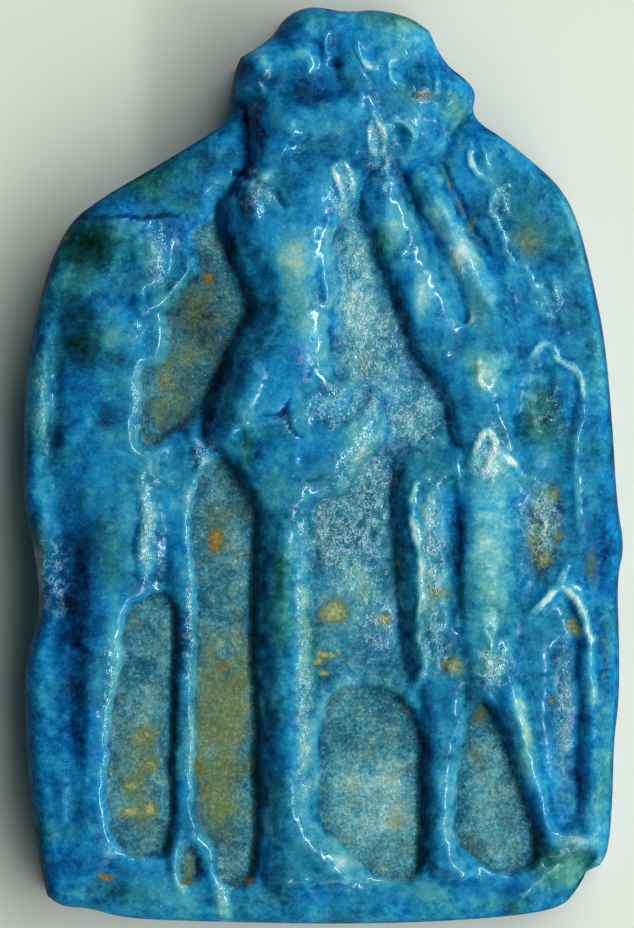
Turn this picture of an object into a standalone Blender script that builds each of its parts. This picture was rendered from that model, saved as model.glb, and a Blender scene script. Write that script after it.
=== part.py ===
# A glazed plaque with a rounded top, modelled lying on its flat back.
# Three worn figures stand side by side in low relief on a plain base band,
# and the middle one's broad head rises above the plaque's shoulders.

import bmesh
import bpy
import numpy as np

mm = 0.001

# Driving sizes
plaqueWidth = 27.5 * mm
plaqueHeight = 42.0 * mm
slabThickness = 5.15 * mm     # from the back to the face between the figures
sunkDepth = 0.55 * mm         # from that face down to the deepest sunk floor
rimRadius = 0.8 * mm          # round of the front edge
rimDrop = 0.9 * mm            # how far the front edge falls below the face
backBevelWidth = 0.3 * mm     # how far the back is drawn in all round
backBevelHeight = 0.6 * mm
headRise = 1.2 * mm           # height of the head's wall, below the round of its top
torsoRise = 0.8 * mm
blendWidth = 0.12 * mm        # softness where two raised forms meet

# Mesh fineness: cells across and along the face, and the share of faces kept
cellsAcross = 104
cellsAlong = 150
keptShare = 0.27
wearPasses = 3

glazeColour = (0.016, 0.16, 0.33, 1.0)
glazeRoughness = 0.22

# The carving is laid out on a grid of even steps, about 27 across and 42 up, with 0 at the
# middle of the foot. The whole grid is stretched to the plaque's width and height.

# The edge of the plaque in four runs, each from the foot upwards or from left to right
leftEdge = [
    (-12.65, 1.3), (-13.1, 3.2), (-13.4, 5.7), (-13.65, 8.5), (-13.7, 12.2), (-13.1, 13.8), (-13.0, 15.4),
    (-13.3, 17.4), (-13.75, 19.2), (-13.75, 22.2), (-13.6, 25.6), (-13.1, 28.2), (-12.5, 30.4),
    (-11.6, 32.2), (-10.3, 33.2), (-8.8, 34.1), (-7.4, 34.9), (-5.6, 36.0), (-4.4, 36.8), (-4.2, 38.2),
    (-4.1, 39.0), (-3.8, 39.7),
]
rightEdge = [
    (12.6, 2.7), (13.0, 3.3), (13.2, 5.7), (13.25, 8.4), (13.5, 10.3), (13.5, 13.0), (13.4, 15.9),
    (13.75, 17.3), (13.4, 19.2), (13.2, 22.8), (12.85, 26.8), (12.3, 29.5), (11.6, 32.3), (10.8, 33.8),
    (9.5, 35.0), (8.1, 36.1), (7.1, 36.7), (6.75, 37.3), (6.95, 38.0), (6.6, 38.6), (5.7, 39.25),
    (5.2, 40.0), (4.8, 40.9),
]
footEdge = [
    (-12.65, 1.3), (-12.0, 0.8), (-10.7, 0.75), (-9.3, 0.3), (-6.5, 0.15), (0.0, 0.0), (5.0, 0.1),
    (9.0, 0.4), (10.9, 0.8), (11.6, 1.6), (11.9, 2.4), (12.6, 2.7),
]
topEdge = [
    (-3.8, 39.7), (-3.1, 40.1), (-2.4, 40.6), (-1.8, 41.5), (-1.0, 41.95), (-0.2, 42.0), (1.0, 41.75),
    (2.4, 41.9), (4.0, 41.5), (4.8, 40.9),
]

# Raised forms: corners of the outline, width of the wall in steps, rise of the wall, then the round of
# the top and how far in it reaches
raised = {
    "torso": (
        [(-2.6, 36.6), (-3.0, 35.2), (-3.5, 34.2), (-4.75, 32.6), (-4.45, 31.2), (-3.85, 30.0),
         (-3.35, 29.0), (-3.2, 28.2), (-3.55, 27.3), (-4.25, 26.3), (-4.65, 25.2), (-5.0, 24.3),
         (-5.25, 23.3), (-5.2, 22.2), (-4.6, 21.6), (-3.9, 20.9), (-3.4, 20.0), (-2.9, 19.0), (-1.0, 19.0),
         (-0.2, 19.8), (0.9, 19.7), (1.25, 20.8), (1.8, 21.4), (2.5, 22.1), (2.75, 23.0), (2.5, 23.9),
         (2.2, 24.5), (1.2, 24.6), (0.5, 24.8), (0.2, 25.4), (0.0, 26.6), (0.1, 28.0), (0.5, 29.0),
         (0.35, 30.0), (0.4, 31.0), (1.0, 32.4), (1.5, 33.6), (2.0, 35.0), (1.6, 36.6)],
        0.5, torsoRise, 0.42 * mm, 1.9),
    "standing leg": (
        [(-2.9, 20.2), (-2.75, 18.0), (-2.85, 15.5), (-2.85, 13.0), (-2.75, 10.0), (-2.7, 7.0),
         (-2.7, 4.0), (-2.9, 1.6), (2.0, 1.7), (1.2, 2.9), (0.3, 3.7), (-0.3, 4.4), (-0.5, 5.2),
         (-0.4, 6.5), (-0.4, 8.5), (-0.4, 10.5), (-0.6, 13.0), (-0.7, 16.0), (-0.7, 18.4), (-0.4, 19.6),
         (0.2, 20.4)],
        0.6, 0.3 * mm, 0.6 * mm, 1.15),
    "upper arm": (
        [(1.6, 33.8), (2.0, 32.4), (2.55, 30.9), (3.15, 29.3), (3.75, 27.6), (4.35, 26.2), (5.2, 24.2),
         (6.8, 24.0), (6.6, 26.0), (6.3, 27.0), (6.1, 27.6), (5.85, 28.4), (5.5, 29.3), (5.0, 30.1),
         (4.5, 31.2), (4.05, 32.3), (3.75, 33.2), (3.2, 34.5), (2.2, 34.6)],
        0.35, 0.55 * mm, 0.3 * mm, 1.0),
    "forearm": (
        [(3.9, 34.7), (3.9, 34.0), (4.35, 33.0), (4.95, 32.0), (5.45, 31.0), (6.0, 30.0), (6.5, 29.0),
         (6.85, 28.1), (6.9, 27.3), (6.8, 25.8), (7.0, 24.6), (8.4, 24.8), (8.8, 26.8), (8.5, 28.4),
         (7.9, 29.6), (7.3, 30.6), (6.8, 31.4), (6.35, 32.3), (5.85, 33.2), (5.4, 34.2), (5.0, 34.8),
         (4.4, 35.0)],
        0.4, 0.4 * mm, 0.45 * mm, 1.0),
    "right trunk": (
        [(4.35, 27.0), (4.95, 25.3), (5.5, 24.4), (5.9, 23.6), (6.0, 22.8), (6.3, 21.8), (6.25, 20.0),
         (6.2, 17.0), (6.3, 14.0), (6.2, 11.8), (7.0, 10.0), (9.1, 10.2), (9.4, 13.0), (9.4, 17.5),
         (9.6, 21.5), (9.8, 24.0), (9.8, 27.0), (8.6, 29.4), (7.0, 28.0), (6.4, 27.2), (5.4, 27.8)],
        0.5, 0.6 * mm, 0.22 * mm, 1.0),
    "right staff": (
        [(3.3, 20.9), (3.6, 21.35), (5.2, 21.5), (6.2, 22.1), (6.9, 21.5), (6.9, 12.0), (5.6, 10.4),
         (4.5, 11.0), (3.95, 11.2), (3.75, 12.5), (3.55, 14.5), (3.45, 17.0), (3.3, 19.0)],
        0.4, 0.35 * mm, 0.35 * mm, 0.9),
    "back leg": (
        [(4.5, 11.4), (4.6, 9.6), (4.7, 7.5), (4.7, 5.0), (4.6, 2.0), (7.2, 2.0), (6.3, 3.2), (5.95, 4.1),
         (5.9, 5.4), (6.1, 6.8), (6.3, 8.0), (6.5, 9.2), (6.5, 10.2), (6.9, 11.2), (7.4, 13.0),
         (6.0, 13.4)],
        0.4, 0.25 * mm, 0.4 * mm, 0.65),
    "front leg": (
        [(6.9, 11.4), (7.4, 10.3), (7.9, 9.8), (8.4, 8.4), (8.9, 7.0), (9.4, 5.6), (9.8, 4.2), (9.9, 3.0),
         (11.5, 2.9), (12.4, 3.4), (12.2, 4.2), (11.0, 4.3), (10.5, 4.9), (10.2, 6.2), (9.95, 7.6),
         (9.6, 8.8), (9.3, 10.0), (9.0, 11.4), (8.7, 13.6), (7.4, 13.6)],
        0.4, 0.2 * mm, 0.45 * mm, 0.65),
    "head": (
        [(-3.2, 33.9), (-3.15, 35.0), (-3.1, 36.0), (-3.2, 37.0), (-3.35, 37.8), (-4.3, 38.2),
         (-4.7, 39.6), (-4.0, 40.7), (-3.0, 41.1), (-2.4, 41.8), (-1.9, 42.8), (1.0, 43.1), (4.0, 43.0),
         (5.4, 41.4), (5.7, 40.3), (6.7, 39.6), (7.6, 38.7), (7.2, 37.7), (6.2, 37.0), (5.7, 36.3),
         (5.4, 35.3), (4.6, 34.95), (3.2, 34.7), (2.2, 34.4), (1.4, 34.2), (0.4, 34.6), (-1.0, 34.7),
         (-2.2, 33.7)],
        0.6, headRise, 1.0 * mm, 2.4),
    "left figure": (
        [(-9.6, 33.1), (-7.4, 32.4), (-6.0, 31.4), (-5.4, 30.2), (-5.8, 27.0), (-6.8, 24.0), (-6.6, 19.0),
         (-7.2, 16.0), (-8.4, 13.0), (-8.8, 8.0), (-8.9, 3.4), (-10.2, 2.4), (-12.5, 2.8), (-12.6, 8.0),
         (-12.3, 13.0), (-12.0, 16.0), (-12.4, 20.0), (-12.5, 25.5), (-12.3, 29.5), (-11.3, 32.2)],
        0.8, 0.04 * mm, 0.5 * mm, 2.2),
}

# Forms that sink into what is beside them: direction (0 across, 1 up), where they are lowest and where
# they are full, and the share of the height that is left at the lowest
fades = {
    "head": (1, 33.4, 36.6, 0.3),
    "right trunk": (0, 9.4, 7.4, 0.0),
}

# Sunk areas: corners of the outline, width of the wall in steps and the floor's height above the
# deepest floor
sunk = {
    "ground beside the torso": (
        [(-6.4, 31.6), (-5.6, 32.5), (-5.0, 33.0), (-4.6, 32.3), (-4.3, 31.2), (-3.7, 30.0), (-3.2, 29.0),
         (-3.05, 28.2), (-3.4, 27.3), (-4.1, 26.3), (-4.5, 25.2), (-4.9, 24.3), (-5.2, 23.4), (-5.9, 22.9),
         (-6.6, 22.3), (-7.5, 21.8), (-8.3, 21.6), (-8.6, 22.3), (-8.75, 23.1), (-8.5, 23.9), (-8.6, 24.5),
         (-8.5, 25.3), (-8.1, 25.9), (-7.5, 25.9), (-7.3, 26.6), (-7.35, 27.4), (-7.5, 28.0), (-7.0, 28.5),
         (-6.4, 29.3), (-5.8, 30.1), (-6.0, 30.8)],
        0.7, 0.05 * mm),
    "ground between the figures": (
        [(0.3, 31.6), (0.8, 32.6), (1.3, 33.3), (1.8, 32.9), (2.1, 32.0), (2.6, 30.8), (3.2, 29.3),
         (3.8, 27.6), (4.4, 26.2), (5.0, 25.2), (5.5, 24.4), (5.85, 23.6), (5.8, 22.9), (5.3, 22.3),
         (4.5, 21.9), (3.7, 21.6), (3.45, 21.0), (3.4, 20.0), (3.4, 18.0), (3.5, 16.5), (3.6, 15.0),
         (3.8, 13.0), (4.2, 11.2), (3.9, 10.2), (2.5, 9.8), (0.5, 10.0), (-0.3, 10.5), (-0.6, 12.5),
         (-0.7, 14.5), (-0.8, 16.5), (-0.75, 18.2), (-0.4, 19.2), (0.3, 19.9), (0.9, 19.7), (1.3, 20.8),
         (1.8, 21.3), (2.6, 22.0), (2.85, 23.0), (2.6, 23.9), (2.3, 24.7), (1.2, 24.7), (0.6, 25.0),
         (0.3, 25.8), (0.3, 27.0), (0.5, 28.2), (0.6, 29.4), (0.3, 30.4)],
        0.6, 0.4 * mm),
    "hollow behind the sceptre": (
        [(-8.3, 15.1), (-8.85, 14.75), (-9.1, 14.2), (-9.3, 13.2), (-9.2, 12.3), (-9.5, 11.4),
         (-9.75, 10.2), (-9.9, 9.0), (-9.95, 7.5), (-10.1, 6.0), (-10.0, 5.0), (-9.8, 4.1), (-9.4, 3.5),
         (-8.9, 3.1), (-8.2, 3.0), (-7.4, 3.0), (-6.95, 3.5), (-6.8, 5.0), (-6.8, 8.0), (-6.7, 10.0),
         (-6.65, 12.0), (-6.6, 14.0), (-6.75, 15.0), (-7.4, 15.4)],
        0.3, 0.1 * mm),
    "hollow before the sceptre": (
        [(-6.0, 20.2), (-6.1, 19.0), (-6.1, 17.0), (-5.95, 16.0), (-5.8, 15.3), (-5.9, 14.0),
         (-5.85, 12.5), (-6.0, 10.5), (-5.95, 8.0), (-6.0, 6.3), (-6.05, 5.5), (-5.9, 4.8), (-5.65, 4.2),
         (-5.25, 3.7), (-4.95, 2.9), (-5.0, 2.2), (-4.7, 1.75), (-3.9, 1.75), (-3.2, 1.9), (-2.9, 3.0),
         (-2.85, 5.0), (-2.85, 8.0), (-2.95, 10.0), (-3.05, 12.0), (-3.1, 14.0), (-3.1, 16.0),
         (-2.9, 17.8), (-3.0, 19.0), (-3.5, 20.2), (-4.1, 21.2), (-5.0, 21.4)],
        0.3, 0.0 * mm),
    "hollow in the sceptre's foot": (
        [(-6.2, 3.8), (-6.65, 3.2), (-6.75, 2.4), (-6.5, 1.85), (-6.0, 1.75), (-5.65, 2.2), (-5.6, 3.0),
         (-5.85, 3.6)],
        0.25, 0.2 * mm),
    "hollow before the standing leg": (
        [(-0.2, 10.5), (-0.25, 8.0), (-0.2, 6.5), (-0.4, 5.0), (-0.1, 4.3), (0.5, 3.8), (1.2, 3.1),
         (1.9, 2.4), (2.5, 2.0), (3.2, 1.9), (4.0, 1.9), (4.45, 2.3), (4.65, 4.0), (4.7, 6.0), (4.75, 7.6),
         (4.6, 9.0), (4.0, 10.0), (3.0, 10.8), (1.5, 11.2)],
        0.3, 0.05 * mm),
    "hollow between the right legs": (
        [(7.2, 10.4), (6.7, 9.9), (6.55, 9.2), (6.35, 8.4), (6.25, 7.5), (6.0, 6.4), (5.85, 5.6),
         (5.9, 5.0), (5.85, 4.3), (6.1, 3.6), (6.6, 3.1), (7.2, 2.6), (7.7, 2.3), (8.6, 2.2), (9.5, 2.5),
         (9.9, 3.2), (9.7, 4.4), (9.35, 5.6), (9.0, 6.7), (8.6, 7.9), (8.15, 9.0), (7.8, 9.9)],
        0.3, 0.1 * mm),
    "hollow at the right foot": (
        [(10.1, 12.6), (10.6, 13.3), (11.4, 13.4), (11.9, 12.6), (11.95, 10.0), (12.0, 8.0), (11.95, 6.5),
         (11.9, 5.0), (11.5, 4.4), (11.0, 4.4), (10.6, 5.2), (10.35, 6.5), (10.1, 8.0), (9.95, 10.0)],
        0.6, 0.35 * mm),
    "hollow at the right shoulder": (
        [(9.1, 25.5), (9.6, 26.3), (10.3, 26.2), (10.7, 25.7), (11.0, 25.2), (10.9, 24.0), (10.7, 22.9),
         (10.4, 22.1), (9.7, 22.2), (9.2, 22.8), (8.9, 24.0)],
        1.2, 0.36 * mm),
    "hollow beside the trunk": (
        [(9.1, 20.2), (9.8, 20.6), (10.8, 20.7), (11.2, 19.6), (11.2, 18.2), (11.0, 17.0), (10.4, 16.0),
         (9.7, 15.1), (9.2, 15.2), (9.0, 17.0), (8.9, 19.0)],
        0.8, 0.42 * mm),
}

# Ridges and grooves along a path: each point has its place, half width and rise in mm, below zero
# for a groove
strokes = [
    [(-8.4, 28.3, 0.5, 0.2), (-7.0, 29.0, 0.55, 0.26), (-5.9, 30.2, 0.5, 0.2)],
    [(-8.3, 29.5, 0.8, 0.1), (-7.8, 30.6, 0.9, 0.16), (-8.1, 31.8, 0.8, 0.1)],
    [(-12.9, 26.4, 0.6, 0.1), (-13.0, 24.0, 0.8, 0.26), (-13.2, 21.4, 0.6, 0.12)],
    [(-12.3, 26.0, 0.5, -0.1), (-12.3, 24.5, 0.5, -0.14), (-12.4, 22.6, 0.5, -0.08)],
    [(-10.5, 28.8, 0.35, -0.14), (-9.6, 28.5, 0.35, -0.2), (-8.2, 28.6, 0.3, -0.14)],
    [(-11.8, 22.0, 0.35, 0.1), (-11.4, 22.7, 0.35, 0.16), (-10.9, 22.9, 0.3, 0.1)],
    [(-8.5, 20.2, 0.45, 0.14), (-8.0, 19.2, 0.45, 0.22), (-8.2, 17.6, 0.45, 0.22), (-8.2, 16.2, 0.5, 0.14)],
    [(-11.3, 12.6, 0.6, -0.12), (-11.4, 8.0, 0.6, -0.16), (-11.4, 5.0, 0.5, -0.1)],
    [(-6.35, 21.5, 0.7, 0.1), (-6.4, 17.0, 0.75, 0.15), (-6.35, 12.0, 0.6, 0.15), (-6.3, 4.2, 0.7, 0.1)],
    [(-6.0, 24.2, 0.5, 0.1), (-5.7, 22.4, 0.6, 0.25), (-5.5, 20.8, 0.5, 0.2)],
    [(-6.7, 4.0, 0.35, 0.1), (-7.0, 2.6, 0.35, 0.12), (-6.6, 1.6, 0.35, 0.1)],
    [(-6.0, 4.0, 0.35, 0.1), (-5.3, 2.8, 0.35, 0.15), (-4.7, 1.2, 0.4, 0.12), (-4.6, 0.4, 0.4, 0.1)],
    [(-3.1, 22.1, 0.9, 0.1), (-1.0, 21.5, 1.0, 0.16), (0.6, 21.2, 0.9, 0.14), (1.7, 22.2, 0.6, 0.1),
     (2.2, 23.1, 0.5, 0.08)],
    [(-0.9, 23.0, 0.7, -0.12), (0.2, 23.2, 0.8, -0.3), (1.1, 23.5, 0.75, -0.4), (1.7, 24.4, 0.6, -0.4)],
    [(-4.5, 33.2, 1.2, -0.3), (-4.6, 31.6, 1.5, -0.35), (-3.6, 29.6, 1.6, -0.35), (-3.4, 28.0, 1.5, -0.35),
     (-4.4, 26.2, 1.4, -0.3), (-5.1, 24.0, 1.2, -0.3), (-5.3, 22.4, 1.0, -0.2)],
    [(-5.0, 22.6, 0.8, 0.15), (-4.3, 23.8, 1.2, 0.28), (-3.4, 25.2, 0.9, 0.15)],
    [(-3.9, 22.6, 0.35, -0.1), (-3.3, 21.6, 0.4, -0.14)],
    [(-2.8, 16.0, 0.5, 0.08), (-2.2, 9.0, 0.7, 0.1), (-1.8, 4.8, 0.9, 0.15), (0.6, 2.6, 0.7, 0.15)],
    [(3.2, 34.8, 0.35, -0.2), (3.7, 33.8, 0.4, -0.24), (4.2, 32.6, 0.35, -0.14), (5.0, 30.8, 0.35, -0.08)],
    [(5.4, 34.6, 0.35, -0.2), (6.0, 33.2, 0.35, -0.26), (6.8, 31.6, 0.35, -0.22), (8.0, 30.1, 0.4, -0.12)],
    [(5.7, 20.2, 0.4, -0.12), (5.95, 18.6, 0.5, -0.3), (5.95, 16.4, 0.5, -0.34), (6.1, 13.6, 0.4, -0.16)],
    [(8.0, 23.6, 0.35, 0.14), (8.5, 22.6, 0.35, 0.2), (8.8, 21.3, 0.35, 0.16)],
    [(7.2, 11.6, 0.6, 0.12), (8.1, 11.4, 0.6, 0.2), (8.8, 10.2, 0.5, 0.2), (9.4, 8.4, 0.4, 0.12)],
    [(11.8, 24.8, 0.35, 0.12), (11.8, 23.4, 0.35, 0.2), (11.5, 22.2, 0.35, 0.2), (11.4, 20.9, 0.3, 0.14)],
    [(9.5, 14.1, 0.5, 0.08), (10.2, 14.8, 0.5, 0.12), (11.0, 15.5, 0.5, 0.12), (11.6, 14.9, 0.5, 0.12)],
    [(11.7, 14.6, 0.4, 0.1), (12.0, 13.0, 0.4, 0.22), (12.1, 11.0, 0.4, 0.22), (12.2, 8.0, 0.5, 0.22),
     (12.2, 4.6, 0.5, 0.2)],
    [(10.9, 14.9, 0.6, -0.1), (11.4, 14.0, 0.5, -0.16), (11.6, 12.6, 0.4, -0.1)],
    [(9.8, 36.0, 0.6, 0.1), (11.4, 33.4, 0.6, 0.12), (12.4, 29.4, 0.6, 0.12), (12.9, 25.0, 0.6, 0.1)],
    [(-2.6, 40.6, 0.9, -0.08), (-1.9, 39.8, 0.9, -0.12), (-2.1, 38.4, 0.9, -0.1)],
    [(-1.8, 40.2, 0.5, -0.12), (-0.9, 40.5, 0.5, -0.16), (-0.35, 40.0, 0.4, -0.1)],
    [(-2.2, 38.3, 0.9, -0.14), (-1.0, 38.1, 1.1, -0.32), (0.4, 38.3, 0.9, -0.22)],
    [(1.2, 40.4, 0.6, 0.06), (1.2, 39.1, 0.7, 0.12), (1.6, 38.3, 0.6, 0.12)],
    [(2.9, 37.9, 0.8, -0.06), (3.8, 37.4, 0.9, -0.14), (5.0, 37.5, 0.8, -0.08)],
    [(-2.6, 36.7, 0.9, 0.1), (-1.0, 36.6, 1.0, 0.12), (1.2, 37.0, 0.8, 0.1)],
    [(4.6, 40.1, 0.7, -0.06), (4.6, 39.1, 0.7, -0.1), (5.0, 37.6, 0.6, -0.08)],
    [(9.4, 1.0, 0.5, -0.2), (10.6, 1.6, 0.9, -0.4), (11.6, 2.3, 0.9, -0.5)],
]


# Round swellings and hollows: centre, half width, half height and rise in mm, below zero for a hollow
swellings = [
    (-9.4, 30.5, 2.5, 2.2, 0.36), (-13.0, 18.0, 0.8, 1.2, 0.1), (-12.6, 8.7, 0.4, 0.4, 0.1),
    (-12.5, 7.6, 1.2, 5.6, 0.15), (-3.2, 39.1, 1.1, 1.25, 0.16), (6.0, 38.2, 1.0, 1.1, 0.18),
    (-0.6, 41.0, 1.6, 1.1, 0.16), (2.9, 40.9, 1.8, 1.1, 0.14), (-0.75, 39.4, 0.6, 0.5, 0.2),
    (0.45, 39.4, 0.5, 0.45, -0.14), (2.2, 39.85, 0.55, 0.6, -0.18), (3.7, 39.1, 1.0, 1.05, -0.3),
    (1.75, 37.7, 0.75, 0.5, 0.24), (-1.7, 36.4, 0.8, 0.8, 0.16), (3.35, 36.2, 0.55, 0.5, -0.16),
    (-0.5, 33.3, 1.4, 1.3, 0.2), (-3.2, 32.7, 0.6, 0.8, 0.22), (-2.7, 34.5, 0.5, 0.5, 0.16),
    (0.15, 32.2, 0.5, 0.4, 0.16), (3.6, 30.7, 0.55, 0.5, 0.2), (7.2, 25.2, 1.0, 1.1, 0.16),
    (7.3, 24.9, 0.45, 0.5, -0.1), (9.8, 21.3, 0.9, 0.7, 0.14), (11.8, 3.8, 1.1, 0.6, 0.3),
    (5.8, 11.8, 0.5, 0.48, 0.22), (6.2, 9.3, 0.4, 0.45, 0.14), (7.3, 35.2, 0.5, 0.6, 0.1),
    (5.0, 19.9, 0.5, 0.4, 0.12), (5.1, 13.2, 0.4, 0.5, 0.14), (-7.9, 30.9, 0.4, 0.6, 0.12),
    (12.2, 7.2, 0.4, 0.5, 0.15),
]
flatTop = 0.3         # share of a groove that stays level
cornerPasses = 2      # how often the corners of an outline are cut


def ramp(low, high, value):
    share = np.clip((value - low) / (high - low), 0.0, 1.0)
    return share * share * (3.0 - 2.0 * share)


def roundedStep(low, high, value):
    # Upright at its foot and rounded at its top
    share = np.clip((value - low) / (high - low), 0.0, 1.0)
    return np.sqrt(1.0 - (1.0 - share) ** 2)


def cutCorners(points, closed):
    # Each pass replaces a corner by two points, a quarter of the way along its sides
    path = np.array(points, dtype=float)
    for _ in range(cornerPasses):
        start = path if closed else path[:-1]
        end = np.roll(path, -1, axis=0) if closed else path[1:]
        pairs = np.stack([0.75 * start + 0.25 * end, 0.25 * start + 0.75 * end], axis=1)
        cut = pairs.reshape(-1, path.shape[1])
        path = cut if closed else np.vstack([path[:1], cut[1:-1], path[-1:]])
    return path


def segmentShare(x, y, start, end):
    # How far along a segment the nearest point lies, and how far off
    run = end[:2] - start[:2]
    along = ((x - start[0]) * run[0] + (y - start[1]) * run[1]) / max(run @ run, 1e-12)
    share = np.clip(along, 0.0, 1.0)
    return share, np.hypot(x - start[0] - share * run[0], y - start[1] - share * run[1])


def depthInside(x, y, corners):
    # Distance to the outline, above zero inside it
    path = cutCorners(corners, closed=True)
    nearest = np.full(x.shape, np.inf)
    inside = np.zeros(x.shape, dtype=bool)
    for start, end in zip(path, np.roll(path, -1, axis=0)):
        nearest = np.minimum(nearest, segmentShare(x, y, start, end)[1])
        if start[1] != end[1]:
            crossing = start[0] + (y - start[1]) * (end[0] - start[0]) / (end[1] - start[1])
            inside ^= ((start[1] > y) != (end[1] > y)) & (x < crossing)
    return np.where(inside, nearest, -nearest)


def strokeHeight(x, y, path):
    # A ridge is round in section with a sharp foot, and a groove has soft edges
    best = np.zeros(x.shape)
    points = cutCorners(path, closed=False)
    for start, end in zip(points[:-1], points[1:]):
        share, off = segmentShare(x, y, start, end)
        halfWidth = start[2] + (end[2] - start[2]) * share
        rise = start[3] + (end[3] - start[3]) * share
        aside = np.clip(off / halfWidth, 0.0, 1.0)
        section = np.where(rise > 0.0, (1.0 - aside ** 2) ** 0.7, 1.0 - ramp(flatTop, 1.0, aside))
        best = np.where(np.abs(rise * section) > np.abs(best), rise * section, best)
    return best * mm


def swellingHeight(x, y, swelling):
    centreX, centreY, halfWidth, halfHeight, rise = swelling
    off = np.hypot((x - centreX) / halfWidth, (y - centreY) / halfHeight)
    return rise * (1.0 - ramp(0.0, 1.0, off)) * mm


def blendHighest(first, second):
    share = np.clip(0.5 + 0.5 * (second - first) / blendWidth, 0.0, 1.0)
    return first * (1.0 - share) + second * share + blendWidth * share * (1.0 - share)


def faceHeight(x, y, fromRim):
    # Height of the carved face above the flat back
    height = np.full(x.shape, slabThickness)
    for name, (corners, wall, rise, crown, reach) in raised.items():
        depth = depthInside(x, y, corners)
        inward = np.clip(depth / reach, 0.0, 1.0)
        form = rise * roundedStep(-wall / 2, wall / 2, depth) + crown * (1.0 - (1.0 - inward) ** 2)
        if name in fades:
            axis, lowest, full, least = fades[name]
            form *= least + (1.0 - least) * ramp(lowest, full, (x, y)[axis])
        height = blendHighest(height, slabThickness + form - blendWidth / 2)
    for path in strokes:
        height += strokeHeight(x, y, path)
    for swelling in swellings:
        height += swellingHeight(x, y, swelling)
    for corners, wall, floorHeight in sunk.values():
        share = 1.0 - roundedStep(-wall / 2, wall / 2, -depthInside(x, y, corners))
        floor = np.minimum(height, slabThickness - sunkDepth + floorHeight)
        height = height * (1.0 - share) + floor * share
    overEdge = np.clip(1.0 - fromRim / rimRadius, 0.0, 1.0)
    return height - rimDrop * (1.0 - np.sqrt(1.0 - overEdge ** 2))


def pointsAlong(edge, axis, values):
    # The other coordinate of an edge run at the given values of one coordinate
    path = cutCorners(edge, closed=False)
    return np.interp(values, path[:, axis], path[:, 1 - axis])


def faceGrid():
    # Grid places over the face: rows run from the left edge to the right, columns from the foot to the top
    across, along = np.meshgrid(np.linspace(0.0, 1.0, cellsAcross + 1), np.linspace(0.0, 1.0, cellsAlong + 1))
    footX = footEdge[0][0] + (footEdge[-1][0] - footEdge[0][0]) * across
    topX = topEdge[0][0] + (topEdge[-1][0] - topEdge[0][0]) * across
    footY = pointsAlong(footEdge, 0, footX)
    topY = pointsAlong(topEdge, 0, topX)
    y = footY + (topY - footY) * along
    leftX = pointsAlong(leftEdge, 1, y[:, 0])[:, None]
    rightX = pointsAlong(rightEdge, 1, y[:, -1])[:, None]
    return leftX + (rightX - leftX) * across, y


def distanceToRim(across, along):
    # From every place of the face to the nearest place on its border
    nearest = np.full(across.shape, np.inf)
    for side in (np.s_[0], np.s_[-1], np.s_[:, 0], np.s_[:, -1]):
        for rimX, rimY in zip(across[side], along[side]):
            nearest = np.minimum(nearest, np.hypot(across - rimX, along - rimY))
    return nearest


def stretched(steps, length):
    # Steps of the grid made metres, so that the outline is just as long as asked and its middle is at 0
    return ((steps - steps.min()) / (steps.max() - steps.min()) - 0.5) * length


def shapeFace(face):
    # Bring the flat square of cells to the plaque's outline and raise the carving on it
    x, y = faceGrid()
    across = stretched(x, plaqueWidth)
    along = stretched(y, plaqueHeight)
    height = faceHeight(x, y, distanceToRim(across, along))
    face.vertices.foreach_set("co", np.stack([across, along, height], axis=-1).astype(np.float32).ravel())


def closeBody(face):
    # Walls down from the rim, drawn in at the foot of the wall, and a flat back
    body = bmesh.new()
    body.from_mesh(face)
    rim = [edge for edge in body.edges if edge.is_boundary]
    for level, inset in ((backBevelHeight, 0.0), (0.0, backBevelWidth)):
        ring = bmesh.ops.extrude_edge_only(body, edges=rim)["geom"]
        rim = [item for item in ring if isinstance(item, bmesh.types.BMEdge)]
        for corner in {corner for edge in rim for corner in edge.verts}:
            corner.co.x *= 1.0 - 2.0 * inset / plaqueWidth
            corner.co.y *= 1.0 - 2.0 * inset / plaqueHeight
            corner.co.z = level
    bmesh.ops.holes_fill(body, edges=rim, sides=0)
    bmesh.ops.recalc_face_normals(body, faces=body.faces[:])
    body.to_mesh(face)
    body.free()


def carvedArea(body):
    # The vertices of the face inside its rim, which the wear may move
    group = body.vertex_groups.new(name="carved area")
    columns = cellsAcross + 1
    carved = [
        row * columns + column
        for row in range(1, cellsAlong)
        for column in range(1, cellsAcross)
    ]
    group.add(carved, 1.0, "REPLACE")
    return group


def glaze():
    material = bpy.data.materials.new("turquoise glaze")
    material.use_nodes = True
    shader = material.node_tree.nodes["Principled BSDF"]
    shader.inputs["Base Color"].default_value = glazeColour
    shader.inputs["Roughness"].default_value = glazeRoughness
    shader.inputs["Metallic"].default_value = 0.0
    material.diffuse_color = glazeColour
    return material


def plaque(collection):
    bpy.ops.mesh.primitive_grid_add(x_subdivisions=cellsAcross, y_subdivisions=cellsAlong, size=plaqueWidth)
    body = bpy.context.object
    body.name = "plaque"
    body.data.name = "plaque"
    shapeFace(body.data)
    closeBody(body.data)
    worn = body.modifiers.new("worn carving", "SMOOTH")
    worn.vertex_group = carvedArea(body).name
    worn.use_x = False
    worn.use_y = False
    worn.factor = 0.5
    worn.iterations = wearPasses
    fewer = body.modifiers.new("fewer faces", "DECIMATE")
    fewer.ratio = keptShare
    body.data.materials.append(glaze())
    body.data.shade_smooth()
    for owner in body.users_collection:
        owner.objects.unlink(body)
    collection.objects.link(body)


for old in list(bpy.data.objects):
    bpy.data.objects.remove(old)
parts = bpy.data.collections.new("glazed plaque")
bpy.context.scene.collection.children.link(parts)
plaque(parts)
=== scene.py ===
import math
import bpy
import numpy as np
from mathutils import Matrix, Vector, noise


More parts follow.
